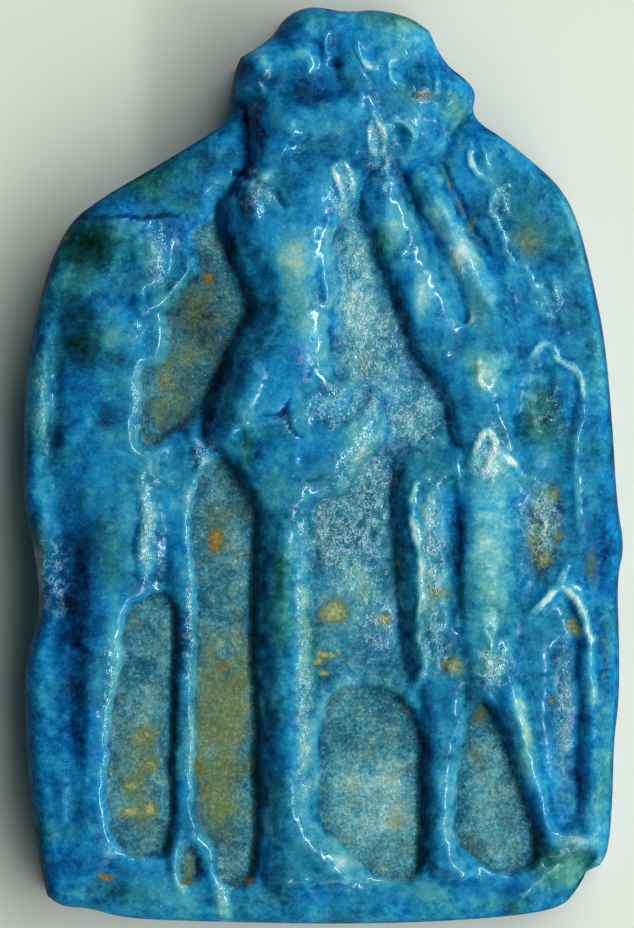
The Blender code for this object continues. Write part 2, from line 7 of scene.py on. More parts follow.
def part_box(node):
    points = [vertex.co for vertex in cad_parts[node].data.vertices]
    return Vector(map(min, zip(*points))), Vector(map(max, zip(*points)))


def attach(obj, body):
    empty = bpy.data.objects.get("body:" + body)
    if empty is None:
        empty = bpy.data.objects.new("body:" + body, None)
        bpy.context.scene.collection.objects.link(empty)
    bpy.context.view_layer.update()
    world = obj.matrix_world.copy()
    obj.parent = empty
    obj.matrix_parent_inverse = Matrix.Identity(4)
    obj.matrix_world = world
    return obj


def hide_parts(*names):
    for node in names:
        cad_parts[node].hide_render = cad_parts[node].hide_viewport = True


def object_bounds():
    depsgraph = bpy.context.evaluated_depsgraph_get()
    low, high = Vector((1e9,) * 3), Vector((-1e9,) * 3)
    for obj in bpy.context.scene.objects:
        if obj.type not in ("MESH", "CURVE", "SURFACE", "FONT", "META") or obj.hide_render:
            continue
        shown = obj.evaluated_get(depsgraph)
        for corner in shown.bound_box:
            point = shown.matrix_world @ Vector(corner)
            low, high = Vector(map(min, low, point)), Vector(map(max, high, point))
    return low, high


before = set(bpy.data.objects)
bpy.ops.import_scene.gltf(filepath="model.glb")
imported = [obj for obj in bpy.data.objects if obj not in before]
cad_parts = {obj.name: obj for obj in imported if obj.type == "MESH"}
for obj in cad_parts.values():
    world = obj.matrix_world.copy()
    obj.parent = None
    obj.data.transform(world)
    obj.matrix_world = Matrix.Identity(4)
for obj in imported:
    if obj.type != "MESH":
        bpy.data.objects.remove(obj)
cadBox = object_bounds()
mm = 0.001

# The carving stands on a grid of even steps, about 27 across and 42 up, with 0 at the
# middle of the foot. The grid is stretched to the solid's own width and height.

plaqueForm = {
    "cellsAcross": 236,
    "cellsAlong": 344,
    "slabThickness": 5.15 * mm,
    "sunkDepth": 0.55 * mm,
    "rimRadius": 0.8 * mm,
    "rimDrop": 0.9 * mm,
    "backBevelWidth": 0.3 * mm,
    "backBevelHeight": 0.6 * mm,
    "wallRows": 9,
    "blendWidth": 0.12 * mm,
    "flatTop": 0.3,
    "wander": 0.09,         # how far the carved outlines stray, in steps
    "wanderSize": 1.1,
    "thinShare": 0.6,       # how much of its rise a thin ridge keeps
    "patchesEnd": 1.6 * mm,  # how far below the face its patches end on the walls
}

# The edge of the plaque in four runs, from the foot upwards or from left to right
edgeRuns = {
    "left": [
        (-12.65, 1.3), (-13.1, 3.2), (-13.4, 5.7), (-13.65, 8.5), (-13.7, 12.2), (-13.1, 13.8), (-13.0, 15.4),
        (-13.3, 17.4), (-13.75, 19.2), (-13.75, 22.2), (-13.6, 25.6), (-13.1, 28.2), (-12.5, 30.4), (-11.6, 32.2),
        (-10.3, 33.2), (-8.8, 34.1), (-7.4, 34.9), (-5.6, 36.0), (-4.4, 36.8), (-4.2, 38.2), (-4.1, 39.0),
        (-3.8, 39.7),
    ],
    "right": [
        (12.6, 2.7), (13.0, 3.3), (13.2, 5.7), (13.25, 8.4), (13.5, 10.3), (13.5, 13.0), (13.4, 15.9), (13.75, 17.3),
        (13.4, 19.2), (13.2, 22.8), (12.85, 26.8), (12.3, 29.5), (11.6, 32.3), (10.8, 33.8), (9.5, 35.0), (8.1, 36.1),
        (7.1, 36.7), (6.75, 37.3), (6.95, 38.0), (6.6, 38.6), (5.7, 39.25), (5.2, 40.0), (4.8, 40.9),
    ],
    "foot": [
        (-12.65, 1.3), (-12.0, 0.8), (-10.7, 0.75), (-9.3, 0.3), (-6.5, 0.15), (0.0, 0.0), (5.0, 0.1), (9.0, 0.4),
        (10.9, 0.8), (11.6, 1.6), (11.9, 2.4), (12.6, 2.7),
    ],
    "top": [
        (-3.8, 39.7), (-3.1, 40.1), (-2.4, 40.6), (-1.8, 41.5), (-1.0, 41.95), (-0.2, 42.0), (1.0, 41.75), (2.4, 41.9), (4.0, 41.5), (4.8, 40.9),
    ],
}

# Raised forms: corners of the outline, wall width in steps, wall rise, round of the top in mm, reach of the round
raisedForms = {
    "torso": (
        [(-2.6, 36.6), (-3.0, 35.2), (-3.5, 34.2), (-4.75, 32.6), (-4.45, 31.2), (-3.85, 30.0), (-3.35, 29.0),
         (-3.2, 28.2), (-3.55, 27.3), (-4.25, 26.3), (-4.65, 25.2), (-5.0, 24.3), (-5.25, 23.3), (-5.2, 22.2),
         (-4.6, 21.6), (-3.9, 20.9), (-3.4, 20.0), (-2.9, 19.0), (-1.0, 19.0), (-0.2, 19.8), (0.9, 19.7), (1.25, 20.8),
         (1.8, 21.4), (2.5, 22.1), (2.75, 23.0), (2.5, 23.9), (2.2, 24.5), (1.2, 24.6), (0.5, 24.8), (0.2, 25.4),
         (0.0, 26.6), (0.1, 28.0), (0.5, 29.0), (0.35, 30.0), (0.4, 31.0), (1.0, 32.4), (1.5, 33.6),
         (2.0, 35.0), (1.6, 36.6)],
        0.5, 0.8, 0.42, 1.9),
    "standing leg": (
        [(-2.9, 20.2), (-2.75, 18.0), (-2.85, 15.5), (-2.85, 13.0), (-2.75, 10.0), (-2.7, 7.0), (-2.7, 4.0),
         (-2.9, 1.6), (2.0, 1.7), (1.2, 2.9), (0.3, 3.7), (-0.3, 4.4), (-0.5, 5.2), (-0.4, 6.5), (-0.4, 8.5),
         (-0.4, 10.5), (-0.6, 13.0), (-0.7, 16.0), (-0.7, 18.4), (-0.4, 19.6), (0.2, 20.4)],
        0.6, 0.3, 0.6, 1.15),
    "upper arm": (
        [(1.6, 33.8), (2.0, 32.4), (2.55, 30.9), (3.15, 29.3), (3.75, 27.6), (4.35, 26.2), (5.2, 24.2), (6.8, 24.0),
         (6.6, 26.0), (6.3, 27.0), (6.1, 27.6), (5.85, 28.4), (5.5, 29.3), (5.0, 30.1), (4.5, 31.2), (4.05, 32.3),
         (3.75, 33.2), (3.2, 34.5), (2.2, 34.6)],
        0.35, 0.55, 0.3, 1.0),
    "forearm": (
        [(3.9, 34.7), (3.9, 34.0), (4.35, 33.0), (4.95, 32.0), (5.45, 31.0), (6.0, 30.0), (6.5, 29.0), (6.85, 28.1),
         (6.9, 27.3), (6.8, 25.8), (7.0, 24.6), (8.4, 24.8), (8.8, 26.8), (8.5, 28.4), (7.9, 29.6), (7.3, 30.6),
         (6.8, 31.4), (6.35, 32.3), (5.85, 33.2), (5.4, 34.2), (5.0, 34.8), (4.4, 35.0)],
        0.4, 0.4, 0.45, 1.0),
    "right trunk": (
        [(4.35, 27.0), (4.95, 25.3), (5.5, 24.4), (5.9, 23.6), (6.0, 22.8), (6.3, 21.8), (6.25, 20.0), (6.2, 17.0),
         (6.3, 14.0), (6.2, 11.8), (7.0, 10.0), (9.1, 10.2), (9.4, 13.0), (9.4, 17.5), (9.6, 21.5), (9.8, 24.0),
         (9.8, 27.0), (8.6, 29.4), (7.0, 28.0), (6.4, 27.2), (5.4, 27.8)],
        0.5, 0.6, 0.22, 1.0),
    "right staff": (
        [(3.3, 20.9), (3.6, 21.35), (5.2, 21.5), (6.2, 22.1), (6.9, 21.5), (6.9, 12.0), (5.6, 10.4), (4.5, 11.0),
         (3.95, 11.2), (3.75, 12.5), (3.55, 14.5), (3.45, 17.0), (3.3, 19.0)],
        0.4, 0.35, 0.35, 0.9),
    "back leg": (
        [(4.5, 11.4), (4.6, 9.6), (4.7, 7.5), (4.7, 5.0), (4.6, 2.0), (7.2, 2.0), (6.3, 3.2), (5.95, 4.1),
         (5.9, 5.4), (6.1, 6.8), (6.3, 8.0), (6.5, 9.2), (6.5, 10.2), (6.9, 11.2), (7.4, 13.0), (6.0, 13.4)],
        0.4, 0.25, 0.4, 0.65),
    "front leg": (
        [(6.9, 11.4), (7.4, 10.3), (7.9, 9.8), (8.4, 8.4), (8.9, 7.0), (9.4, 5.6), (9.8, 4.2), (9.9, 3.0),
         (11.5, 2.9), (12.4, 3.4), (12.2, 4.2), (11.0, 4.3), (10.5, 4.9), (10.2, 6.2), (9.95, 7.6), (9.6, 8.8),
         (9.3, 10.0), (9.0, 11.4), (8.7, 13.6), (7.4, 13.6)],
        0.4, 0.2, 0.45, 0.65),
    "head": (
        [(-3.2, 33.9), (-3.15, 35.0), (-3.1, 36.0), (-3.2, 37.0), (-3.35, 37.8), (-4.3, 38.2), (-4.7, 39.6),
         (-4.0, 40.7), (-3.0, 41.1), (-2.4, 41.8), (-1.9, 42.8), (1.0, 43.1), (4.0, 43.0), (5.4, 41.4), (5.7, 40.3),
         (6.7, 39.6), (7.6, 38.7), (7.2, 37.7), (6.2, 37.0), (5.7, 36.3), (5.4, 35.3), (4.6, 34.95), (3.2, 34.7),
         (2.2, 34.4), (1.4, 34.2), (0.4, 34.6), (-1.0, 34.7), (-2.2, 33.7)],
        0.6, 1.2, 1.0, 2.4),
    "left figure": (
        [(-9.6, 33.1), (-7.4, 32.4), (-6.0, 31.4), (-5.4, 30.2), (-5.8, 27.0), (-6.8, 24.0), (-6.6, 19.0),
         (-7.2, 16.0), (-8.4, 13.0), (-8.8, 8.0), (-8.9, 3.4), (-10.2, 2.4), (-12.5, 2.8), (-12.6, 8.0),
         (-12.3, 13.0), (-12.0, 16.0), (-12.4, 20.0), (-12.5, 25.5), (-12.3, 29.5), (-11.3, 32.2)],
        0.8, 0.04, 0.5, 2.2),
}

# Patches of small lumps: centre, half width, half height and strength
lumps = [
    (0.9, 33.4, 0.9, 2.2, 1.2), (1.3, 29.6, 1.3, 3.6, 1.4), (2.2, 26.2, 2.2, 3.0, 1.4), (0.4, 23.6, 1.9, 1.4, 1.4),
    (4.0, 23.2, 2.2, 2.2, 1.3), (2.0, 20.4, 1.7, 2.8, 1.3), (1.2, 17.6, 2.2, 3.4, 1.2), (2.4, 14.2, 1.4, 3.0, 0.9),
    (5.0, 16.4, 0.9, 5.4, 1.4), (5.0, 12.6, 0.9, 1.6, 1.2), (7.8, 11.8, 1.3, 1.4, 1.4), (-8.1, 18.0, 0.8, 3.4, 1.1),
    (10.9, 9.8, 0.6, 4.6, 1.1), (10.0, 18.2, 1.3, 3.0, 1.3), (7.5, 21.6, 1.2, 1.9, 1.2), (-7.6, 31.0, 0.8, 1.8, 0.8),
    (-2.9, 33.4, 0.9, 1.4, 0.9), (2.5, 35.7, 0.9, 2.2, 1.3), (10.4, 23.6, 1.4, 1.9, 0.8), (8.0, 33.0, 0.9, 1.4, 0.6),
    (-12.4, 16.0, 1.2, 3.0, 0.7), (-0.85, 12.0, 0.6, 9.0, 1.4),
    (-12.9, 24.0, 0.5, 2.8, 1.0), (-6.15, 12.6, 0.4, 9.0, 0.8), (-9.9, 9.0, 0.4, 6.0, 0.6), (-8.5, 24.0, 0.4, 2.4, 0.8),
    (-7.2, 29.2, 1.0, 0.5, 0.5), (2.9, 34.4, 0.5, 1.2, 1.0), (-4.6, 2.2, 0.5, 1.6, 0.8), (2.2, 24.0, 1.0, 1.2, 0.9), (0.1, 18.2, 1.0, 2.0, 1.3), (4.5, 38.0, 0.9, 0.5, 1.2), (-5.6, 21.4, 0.9, 1.2, 1.1),
    (10.4, 28.6, 1.4, 1.6, 0.4), (-8.6, 27.2, 0.6, 0.8, 0.4), (11.3, 3.6, 1.2, 0.8, 0.8), (6.3, 30.2, 0.5, 1.4, 0.6),
]

# Forms that sink into what is beside them: direction (0 across, 1 up), where they are lowest and where they are full,
# and the share of the height that is left at the lowest
fades = {
    "head": (1, 33.4, 36.6, 0.3),
    "right trunk": (0, 9.4, 7.4, 0.0),
}

# Sunk areas: corners of the outline, wall width in steps, the floor's height above the deepest floor in mm, and how
# gritty the floor is
sunkAreas = {
    "ground beside the torso": (
        [(-6.4, 31.6), (-5.6, 32.5), (-5.0, 33.0), (-4.6, 32.3), (-4.3, 31.2), (-3.7, 30.0), (-3.2, 29.0),
         (-3.05, 28.2), (-3.4, 27.3), (-4.1, 26.3), (-4.5, 25.2), (-4.9, 24.3), (-5.2, 23.4), (-5.9, 22.9),
         (-6.6, 22.3), (-7.5, 21.8), (-8.3, 21.6), (-8.6, 22.3), (-8.75, 23.1), (-8.5, 23.9), (-8.6, 24.5),
         (-8.5, 25.3), (-8.1, 25.9), (-7.5, 25.9), (-7.3, 26.6), (-7.35, 27.4), (-7.5, 28.0), (-7.0, 28.5),
         (-6.4, 29.3), (-5.8, 30.1), (-6.0, 30.8)],
        0.7, 0.05, 0.9),
    "ground between the figures": (
        [(0.3, 31.6), (0.8, 32.6), (1.3, 33.3), (1.8, 32.9), (2.1, 32.0), (2.6, 30.8), (3.2, 29.3), (3.8, 27.6),
         (4.4, 26.2), (5.0, 25.2), (5.5, 24.4), (5.85, 23.6), (5.8, 22.9), (5.3, 22.3), (4.5, 21.9), (3.7, 21.6),
         (3.45, 21.0), (3.4, 20.0), (3.4, 18.0), (3.5, 16.5), (3.6, 15.0), (3.8, 13.0), (4.2, 11.2), (3.9, 10.2),
         (2.5, 9.8), (0.5, 10.0), (-0.3, 10.5), (-0.6, 12.5), (-0.7, 14.5), (-0.8, 16.5), (-0.75, 18.2),
         (-0.4, 19.2), (0.3, 19.9), (0.9, 19.7), (1.3, 20.8), (1.8, 21.3), (2.6, 22.0), (2.85, 23.0), (2.6, 23.9),
         (2.3, 24.7), (1.2, 24.7), (0.6, 25.0), (0.3, 25.8), (0.3, 27.0), (0.5, 28.2), (0.6, 29.4), (0.3, 30.4)],
        0.6, 0.4, 0.5),
    "hollow behind the sceptre": (
        [(-8.3, 15.1), (-8.85, 14.75), (-9.1, 14.2), (-9.3, 13.2), (-9.2, 12.3), (-9.5, 11.4), (-9.75, 10.2),
         (-9.9, 9.0), (-9.95, 7.5), (-10.1, 6.0), (-10.0, 5.0), (-9.8, 4.1), (-9.4, 3.5), (-8.9, 3.1), (-8.2, 3.0),
         (-7.4, 3.0), (-6.95, 3.5), (-6.8, 5.0), (-6.8, 8.0), (-6.7, 10.0), (-6.65, 12.0), (-6.6, 14.0),
         (-6.75, 15.0), (-7.4, 15.4)],
        0.3, 0.1, 0.9),
    "hollow before the sceptre": (
        [(-6.0, 20.2), (-6.1, 19.0), (-6.1, 17.0), (-5.95, 16.0), (-5.8, 15.3), (-5.9, 14.0), (-5.85, 12.5),
         (-6.0, 10.5), (-5.95, 8.0), (-6.0, 6.3), (-6.05, 5.5), (-5.9, 4.8), (-5.65, 4.2), (-5.25, 3.7),
         (-4.95, 2.9), (-5.0, 2.2), (-4.7, 1.75), (-3.9, 1.75), (-3.2, 1.9), (-2.9, 3.0), (-2.85, 5.0),
         (-2.85, 8.0), (-2.95, 10.0), (-3.05, 12.0), (-3.1, 14.0), (-3.1, 16.0), (-2.9, 17.8), (-3.0, 19.0),
         (-3.5, 20.2), (-4.1, 21.2), (-5.0, 21.4)],
        0.3, 0.0, 0.95),
    "hollow in the sceptre's foot": (
        [(-6.2, 3.8), (-6.65, 3.2), (-6.75, 2.4), (-6.5, 1.85), (-6.0, 1.75), (-5.65, 2.2), (-5.6, 3.0), (-5.85, 3.6)],
        0.25, 0.2, 0.9),
    "hollow before the standing leg": (
        [(-0.2, 10.5), (-0.25, 8.0), (-0.2, 6.5), (-0.4, 5.0), (-0.1, 4.3), (0.5, 3.8), (1.2, 3.1), (1.9, 2.4),
         (2.5, 2.0), (3.2, 1.9), (4.0, 1.9), (4.45, 2.3), (4.65, 4.0), (4.7, 6.0), (4.75, 7.6), (4.6, 9.0),
         (4.0, 10.0), (3.0, 10.8), (1.5, 11.2)],
        0.3, 0.05, 0.85),
    "hollow between the right legs": (
        [(7.2, 10.4), (6.7, 9.9), (6.55, 9.2), (6.35, 8.4), (6.25, 7.5), (6.0, 6.4), (5.85, 5.6), (5.9, 5.0),
         (5.85, 4.3), (6.1, 3.6), (6.6, 3.1), (7.2, 2.6), (7.7, 2.3), (8.6, 2.2), (9.5, 2.5), (9.9, 3.2), (9.7, 4.4),
         (9.35, 5.6), (9.0, 6.7), (8.6, 7.9), (8.15, 9.0), (7.8, 9.9)],
        0.3, 0.1, 0.85),
    "hollow at the right foot": (
        [(10.1, 12.6), (10.6, 13.3), (11.4, 13.4), (11.9, 12.6), (11.95, 10.0), (12.0, 8.0), (11.95, 6.5),
         (11.9, 5.0), (11.5, 4.4), (11.0, 4.4), (10.6, 5.2), (10.35, 6.5), (10.1, 8.0), (9.95, 10.0)],
        0.6, 0.35, 0.3),
    "hollow at the right shoulder": (
        [(9.1, 25.5), (9.6, 26.3), (10.3, 26.2), (10.7, 25.7), (11.0, 25.2), (10.9, 24.0), (10.7, 22.9),
         (10.4, 22.1), (9.7, 22.2), (9.2, 22.8), (8.9, 24.0)],
        1.2, 0.36, 0.2),
    "hollow beside the trunk": (
        [(9.1, 20.2), (9.8, 20.6), (10.8, 20.7), (11.2, 19.6), (11.2, 18.2), (11.0, 17.0), (10.4, 16.0),
         (9.7, 15.1), (9.2, 15.2), (9.0, 17.0), (8.9, 19.0)],
        0.8, 0.42, 0.4),
}

# Ridges and grooves along a path: place, half width and rise in mm, below zero for a groove
strokes = {
    "left figure": [
        [(-8.4, 28.3, 0.5, 0.2), (-7.0, 29.0, 0.55, 0.26), (-5.9, 30.2, 0.5, 0.2)],
        [(-8.1, 28.9, 0.3, -0.16), (-7.3, 29.2, 0.3, -0.16), (-6.4, 30.0, 0.25, -0.1)],
        [(-8.3, 29.5, 0.8, 0.1), (-7.8, 30.6, 0.9, 0.16), (-8.1, 31.8, 0.8, 0.1)],
        [(-12.9, 26.4, 0.6, 0.1), (-13.0, 24.0, 0.8, 0.26), (-13.2, 21.4, 0.6, 0.12)],
        [(-12.3, 26.0, 0.5, -0.1), (-12.3, 24.5, 0.5, -0.14), (-12.4, 22.6, 0.5, -0.08)],
        [(-11.6, 32.4, 0.15, -0.08), (-9.2, 32.5, 0.16, -0.15), (-8.0, 32.4, 0.16, -0.16), (-6.6, 32.5, 0.15, -0.1)],
        [(-10.5, 28.8, 0.35, -0.14), (-9.6, 28.5, 0.35, -0.2), (-8.2, 28.6, 0.3, -0.14)],
        [(-11.8, 22.0, 0.35, 0.1), (-11.4, 22.7, 0.35, 0.16), (-10.9, 22.9, 0.3, 0.1)],
        [(-8.5, 20.2, 0.45, 0.14), (-8.0, 19.2, 0.45, 0.22), (-8.2, 17.6, 0.45, 0.22), (-8.2, 16.2, 0.5, 0.14)],
        [(-11.3, 12.6, 0.6, -0.12), (-11.4, 8.0, 0.6, -0.16), (-11.4, 5.0, 0.5, -0.1)],
    ],
    "sceptre": [
        [(-6.35, 21.5, 0.7, 0.1), (-6.4, 17.0, 0.75, 0.15), (-6.35, 12.0, 0.6, 0.15), (-6.3, 4.2, 0.7, 0.1)],
        [(-6.0, 24.2, 0.5, 0.1), (-5.7, 22.4, 0.6, 0.25), (-5.5, 20.8, 0.5, 0.2)],
        [(-6.7, 4.0, 0.35, 0.1), (-7.0, 2.6, 0.35, 0.12), (-6.6, 1.6, 0.35, 0.1)],
        [(-6.0, 4.0, 0.35, 0.1), (-5.3, 2.8, 0.35, 0.15), (-4.7, 1.2, 0.4, 0.12), (-4.6, 0.4, 0.4, 0.1)],
    ],
    "middle figure": [
        [(-3.1, 22.1, 0.9, 0.1), (-1.0, 21.5, 1.0, 0.16), (0.6, 21.2, 0.9, 0.14), (1.7, 22.2, 0.6, 0.1),
         (2.2, 23.1, 0.5, 0.08)],
        [(-0.9, 23.0, 0.7, -0.12), (0.2, 23.2, 0.8, -0.3), (1.1, 23.5, 0.75, -0.4), (1.7, 24.4, 0.6, -0.4)],
        [(-4.5, 33.2, 1.2, -0.3), (-4.6, 31.6, 1.5, -0.35), (-3.6, 29.6, 1.6, -0.35), (-3.4, 28.0, 1.5, -0.35),
         (-4.4, 26.2, 1.4, -0.3), (-5.1, 24.0, 1.2, -0.3), (-5.3, 22.4, 1.0, -0.2)],
        [(-5.0, 22.6, 0.8, 0.15), (-4.3, 23.8, 1.2, 0.28), (-3.4, 25.2, 0.9, 0.15)],
        [(-3.9, 22.6, 0.35, -0.1), (-3.3, 21.6, 0.4, -0.14)],
        [(-2.7, 23.4, 0.14, -0.1), (-1.9, 23.4, 0.2, -0.2), (-1.7, 24.0, 0.12, -0.14)],
        [(-1.7, 23.2, 0.16, -0.18), (-1.4, 22.6, 0.18, -0.16), (-0.9, 22.3, 0.14, -0.08)],
        [(0.35, 34.7, 0.22, 0.14), (0.6, 34.1, 0.24, 0.16), (0.85, 33.4, 0.24, 0.14), (0.95, 32.4, 0.2, 0.08)],
        [(0.5, 34.8, 0.2, 0.1), (0.95, 34.85, 0.22, 0.14), (1.3, 34.3, 0.24, 0.16), (1.3, 33.2, 0.2, 0.08)],
        [(-0.05, 30.0, 0.3, 0.1), (0.1, 29.2, 0.3, 0.14), (0.3, 28.3, 0.3, 0.1)],
        [(-2.8, 16.0, 0.5, 0.08), (-2.2, 9.0, 0.7, 0.1), (-1.8, 4.8, 0.9, 0.15), (0.6, 2.6, 0.7, 0.15)],
        [(-4.0, 34.5, 0.25, -0.18), (-3.0, 34.1, 0.25, -0.2), (-2.4, 33.7, 0.25, -0.2), (-1.9, 32.9, 0.2, -0.12)],
    ],
    "right figure": [
        [(3.2, 34.8, 0.35, -0.2), (3.7, 33.8, 0.4, -0.24), (4.2, 32.6, 0.35, -0.14), (5.0, 30.8, 0.35, -0.08)],
        [(5.4, 34.6, 0.35, -0.2), (6.0, 33.2, 0.35, -0.26), (6.8, 31.6, 0.35, -0.22), (8.0, 30.1, 0.4, -0.12)],
        [(5.7, 20.2, 0.4, -0.12), (5.95, 18.6, 0.5, -0.3), (5.95, 16.4, 0.5, -0.34), (6.1, 13.6, 0.4, -0.16)],
        [(8.0, 23.6, 0.35, 0.14), (8.5, 22.6, 0.35, 0.2), (8.8, 21.3, 0.35, 0.16)],
        [(8.0, 21.7, 0.22, 0.12), (8.5, 21.3, 0.22, 0.18), (9.1, 20.6, 0.22, 0.12)],
        [(6.8, 21.2, 0.22, 0.1), (7.0, 22.1, 0.22, 0.2), (7.45, 22.9, 0.22, 0.22), (7.8, 22.1, 0.22, 0.2),
         (7.6, 21.4, 0.22, 0.16), (7.3, 20.7, 0.22, 0.1)],
        [(7.3, 14.4, 0.2, 0.06), (7.3, 13.6, 0.2, 0.1), (7.7, 12.6, 0.2, 0.12)],
        [(6.0, 27.6, 0.2, 0.1), (6.4, 27.3, 0.22, 0.16), (6.75, 27.8, 0.22, 0.16), (6.6, 28.7, 0.22, 0.14),
         (6.3, 29.3, 0.2, 0.08)],
        [(7.1, 25.9, 0.2, 0.1), (7.05, 25.2, 0.22, 0.16), (7.3, 24.5, 0.2, 0.14), (7.6, 24.4, 0.18, 0.08)],
        [(7.2, 11.6, 0.6, 0.12), (8.1, 11.4, 0.6, 0.2), (8.8, 10.2, 0.5, 0.2), (9.4, 8.4, 0.4, 0.12)],
        [(4.6, 20.5, 0.2, 0.1), (4.1, 20.1, 0.22, 0.16), (4.0, 18.9, 0.22, 0.16), (4.2, 17.4, 0.22, 0.16),
         (4.4, 16.0, 0.22, 0.16), (4.3, 14.4, 0.22, 0.16), (4.3, 13.0, 0.22, 0.16), (4.65, 12.3, 0.22, 0.14),
         (4.45, 11.5, 0.2, 0.14), (4.3, 10.9, 0.2, 0.1)],
        [(4.7, 20.0, 0.18, 0.06), (4.6, 18.6, 0.2, 0.1), (4.8, 17.4, 0.2, 0.06)],
        [(4.7, 14.0, 0.18, 0.06), (4.9, 13.4, 0.2, 0.12), (5.2, 12.8, 0.18, 0.1)],
    ],
    "right edge": [
        [(9.4, 25.9, 0.22, 0.12), (9.95, 26.7, 0.24, 0.2), (10.45, 26.4, 0.24, 0.2), (10.7, 25.8, 0.24, 0.18),
         (11.3, 25.7, 0.24, 0.18), (11.75, 25.2, 0.24, 0.18), (11.9, 24.4, 0.24, 0.16)],
        [(11.8, 24.8, 0.35, 0.12), (11.8, 23.4, 0.35, 0.2), (11.5, 22.2, 0.35, 0.2), (11.4, 20.9, 0.3, 0.14)],
        [(11.4, 20.6, 0.24, 0.1), (11.7, 19.6, 0.26, 0.14), (11.5, 18.4, 0.26, 0.12), (11.6, 17.6, 0.24, 0.08)],
        [(9.6, 14.3, 0.24, 0.16), (10.2, 14.9, 0.26, 0.2), (10.9, 15.6, 0.26, 0.2), (11.0, 16.4, 0.22, 0.1)],
        [(9.5, 14.1, 0.5, 0.08), (10.2, 14.8, 0.5, 0.12), (11.0, 15.5, 0.5, 0.12), (11.6, 14.9, 0.5, 0.12)],
        [(11.0, 15.4, 0.26, 0.14), (11.5, 15.0, 0.28, 0.2), (11.9, 14.1, 0.26, 0.2), (12.1, 13.0, 0.24, 0.16)],
        [(11.7, 14.6, 0.4, 0.1), (12.0, 13.0, 0.4, 0.22), (12.1, 11.0, 0.4, 0.22), (12.2, 8.0, 0.5, 0.22),
         (12.2, 4.6, 0.5, 0.2)],
        [(10.9, 14.9, 0.6, -0.1), (11.4, 14.0, 0.5, -0.16), (11.6, 12.6, 0.4, -0.1)],
        [(8.8, 19.3, 0.18, 0.12), (9.3, 19.7, 0.2, 0.16), (9.8, 19.15, 0.2, 0.16), (10.4, 19.4, 0.2, 0.14)],
        [(10.4, 19.1, 0.18, 0.12), (10.15, 18.3, 0.2, 0.16), (10.2, 17.6, 0.2, 0.14), (10.5, 17.3, 0.18, 0.1)],
        [(9.3, 18.4, 0.18, 0.1), (9.7, 17.8, 0.2, 0.12), (9.4, 17.2, 0.2, 0.12), (9.6, 16.4, 0.18, 0.1)],
        [(11.0, 13.1, 0.2, 0.12), (10.9, 12.2, 0.2, 0.14), (10.6, 11.2, 0.2, 0.14), (10.8, 9.8, 0.2, 0.12),
         (10.8, 8.4, 0.2, 0.12), (11.0, 6.6, 0.2, 0.08)],
        [(10.2, 29.6, 0.18, 0.08), (10.5, 29.2, 0.22, 0.14), (10.6, 28.7, 0.2, 0.12)],
        [(10.9, 27.6, 0.18, 0.1), (11.0, 27.1, 0.18, 0.1)],
        [(6.65, 36.0, 0.22, 0.1), (6.6, 35.1, 0.24, 0.18), (6.9, 34.5, 0.24, 0.18), (7.4, 34.2, 0.22, 0.12)],
        [(7.2, 36.1, 0.2, 0.08), (7.5, 34.9, 0.2, 0.1)],
        [(8.3, 33.9, 0.24, 0.14), (7.8, 33.7, 0.2, 0.1), (7.6, 33.2, 0.22, 0.14), (7.75, 32.5, 0.22, 0.14)],
        [(7.8, 32.4, 0.2, 0.12), (8.2, 31.6, 0.22, 0.14), (8.25, 30.9, 0.2, 0.12), (8.6, 30.3, 0.2, 0.14),
         (9.2, 30.0, 0.2, 0.1)],
        [(9.3, 29.7, 0.18, 0.1), (9.6, 29.2, 0.2, 0.14)],
        [(8.1, 33.2, 0.18, 0.1), (8.4, 32.8, 0.2, 0.12), (8.3, 32.4, 0.18, 0.08)],
        [(9.8, 36.0, 0.6, 0.1), (11.4, 33.4, 0.6, 0.12), (12.4, 29.4, 0.6, 0.12), (12.9, 25.0, 0.6, 0.1)],
    ],
    "head": [
        [(-2.6, 40.6, 0.9, -0.08), (-1.9, 39.8, 0.9, -0.12), (-2.1, 38.4, 0.9, -0.1)],
        [(-1.8, 40.2, 0.5, -0.12), (-0.9, 40.5, 0.5, -0.16), (-0.35, 40.0, 0.4, -0.1)],
        [(-2.2, 38.3, 0.9, -0.14), (-1.0, 38.1, 1.1, -0.32), (0.4, 38.3, 0.9, -0.22)],
        [(1.2, 40.4, 0.6, 0.06), (1.2, 39.1, 0.7, 0.12), (1.6, 38.3, 0.6, 0.12)],
        [(2.9, 37.9, 0.8, -0.06), (3.8, 37.4, 0.9, -0.14), (5.0, 37.5, 0.8, -0.08)],
        [(-2.6, 36.7, 0.9, 0.1), (-1.0, 36.6, 1.0, 0.12), (1.2, 37.0, 0.8, 0.1)],
        [(4.6, 40.1, 0.7, -0.06), (4.6, 39.1, 0.7, -0.1), (5.0, 37.6, 0.6, -0.08)],
        [(2.15, 36.7, 0.2, 0.12), (2.0, 36.0, 0.22, 0.16), (2.1, 35.4, 0.22, 0.16), (2.4, 34.9, 0.2, 0.12)],
        [(2.2, 37.1, 0.2, 0.08), (2.5, 36.6, 0.22, 0.14), (2.75, 36.0, 0.24, 0.18), (2.6, 35.4, 0.24, 0.18),
         (2.8, 34.9, 0.22, 0.16), (2.75, 34.4, 0.22, 0.14), (3.2, 33.7, 0.2, 0.12)],
        [(2.7, 36.4, 0.2, 0.1), (2.9, 36.8, 0.22, 0.14), (3.4, 36.85, 0.22, 0.14), (3.95, 36.5, 0.22, 0.14),
         (4.15, 36.0, 0.22, 0.14), (3.95, 35.5, 0.2, 0.12), (3.95, 35.1, 0.2, 0.1)],
        [(3.6, 39.8, 0.2, 0.08), (3.15, 39.5, 0.22, 0.12), (2.95, 39.0, 0.22, 0.14), (3.1, 38.5, 0.22, 0.12),
         (3.5, 38.3, 0.2, 0.08)],
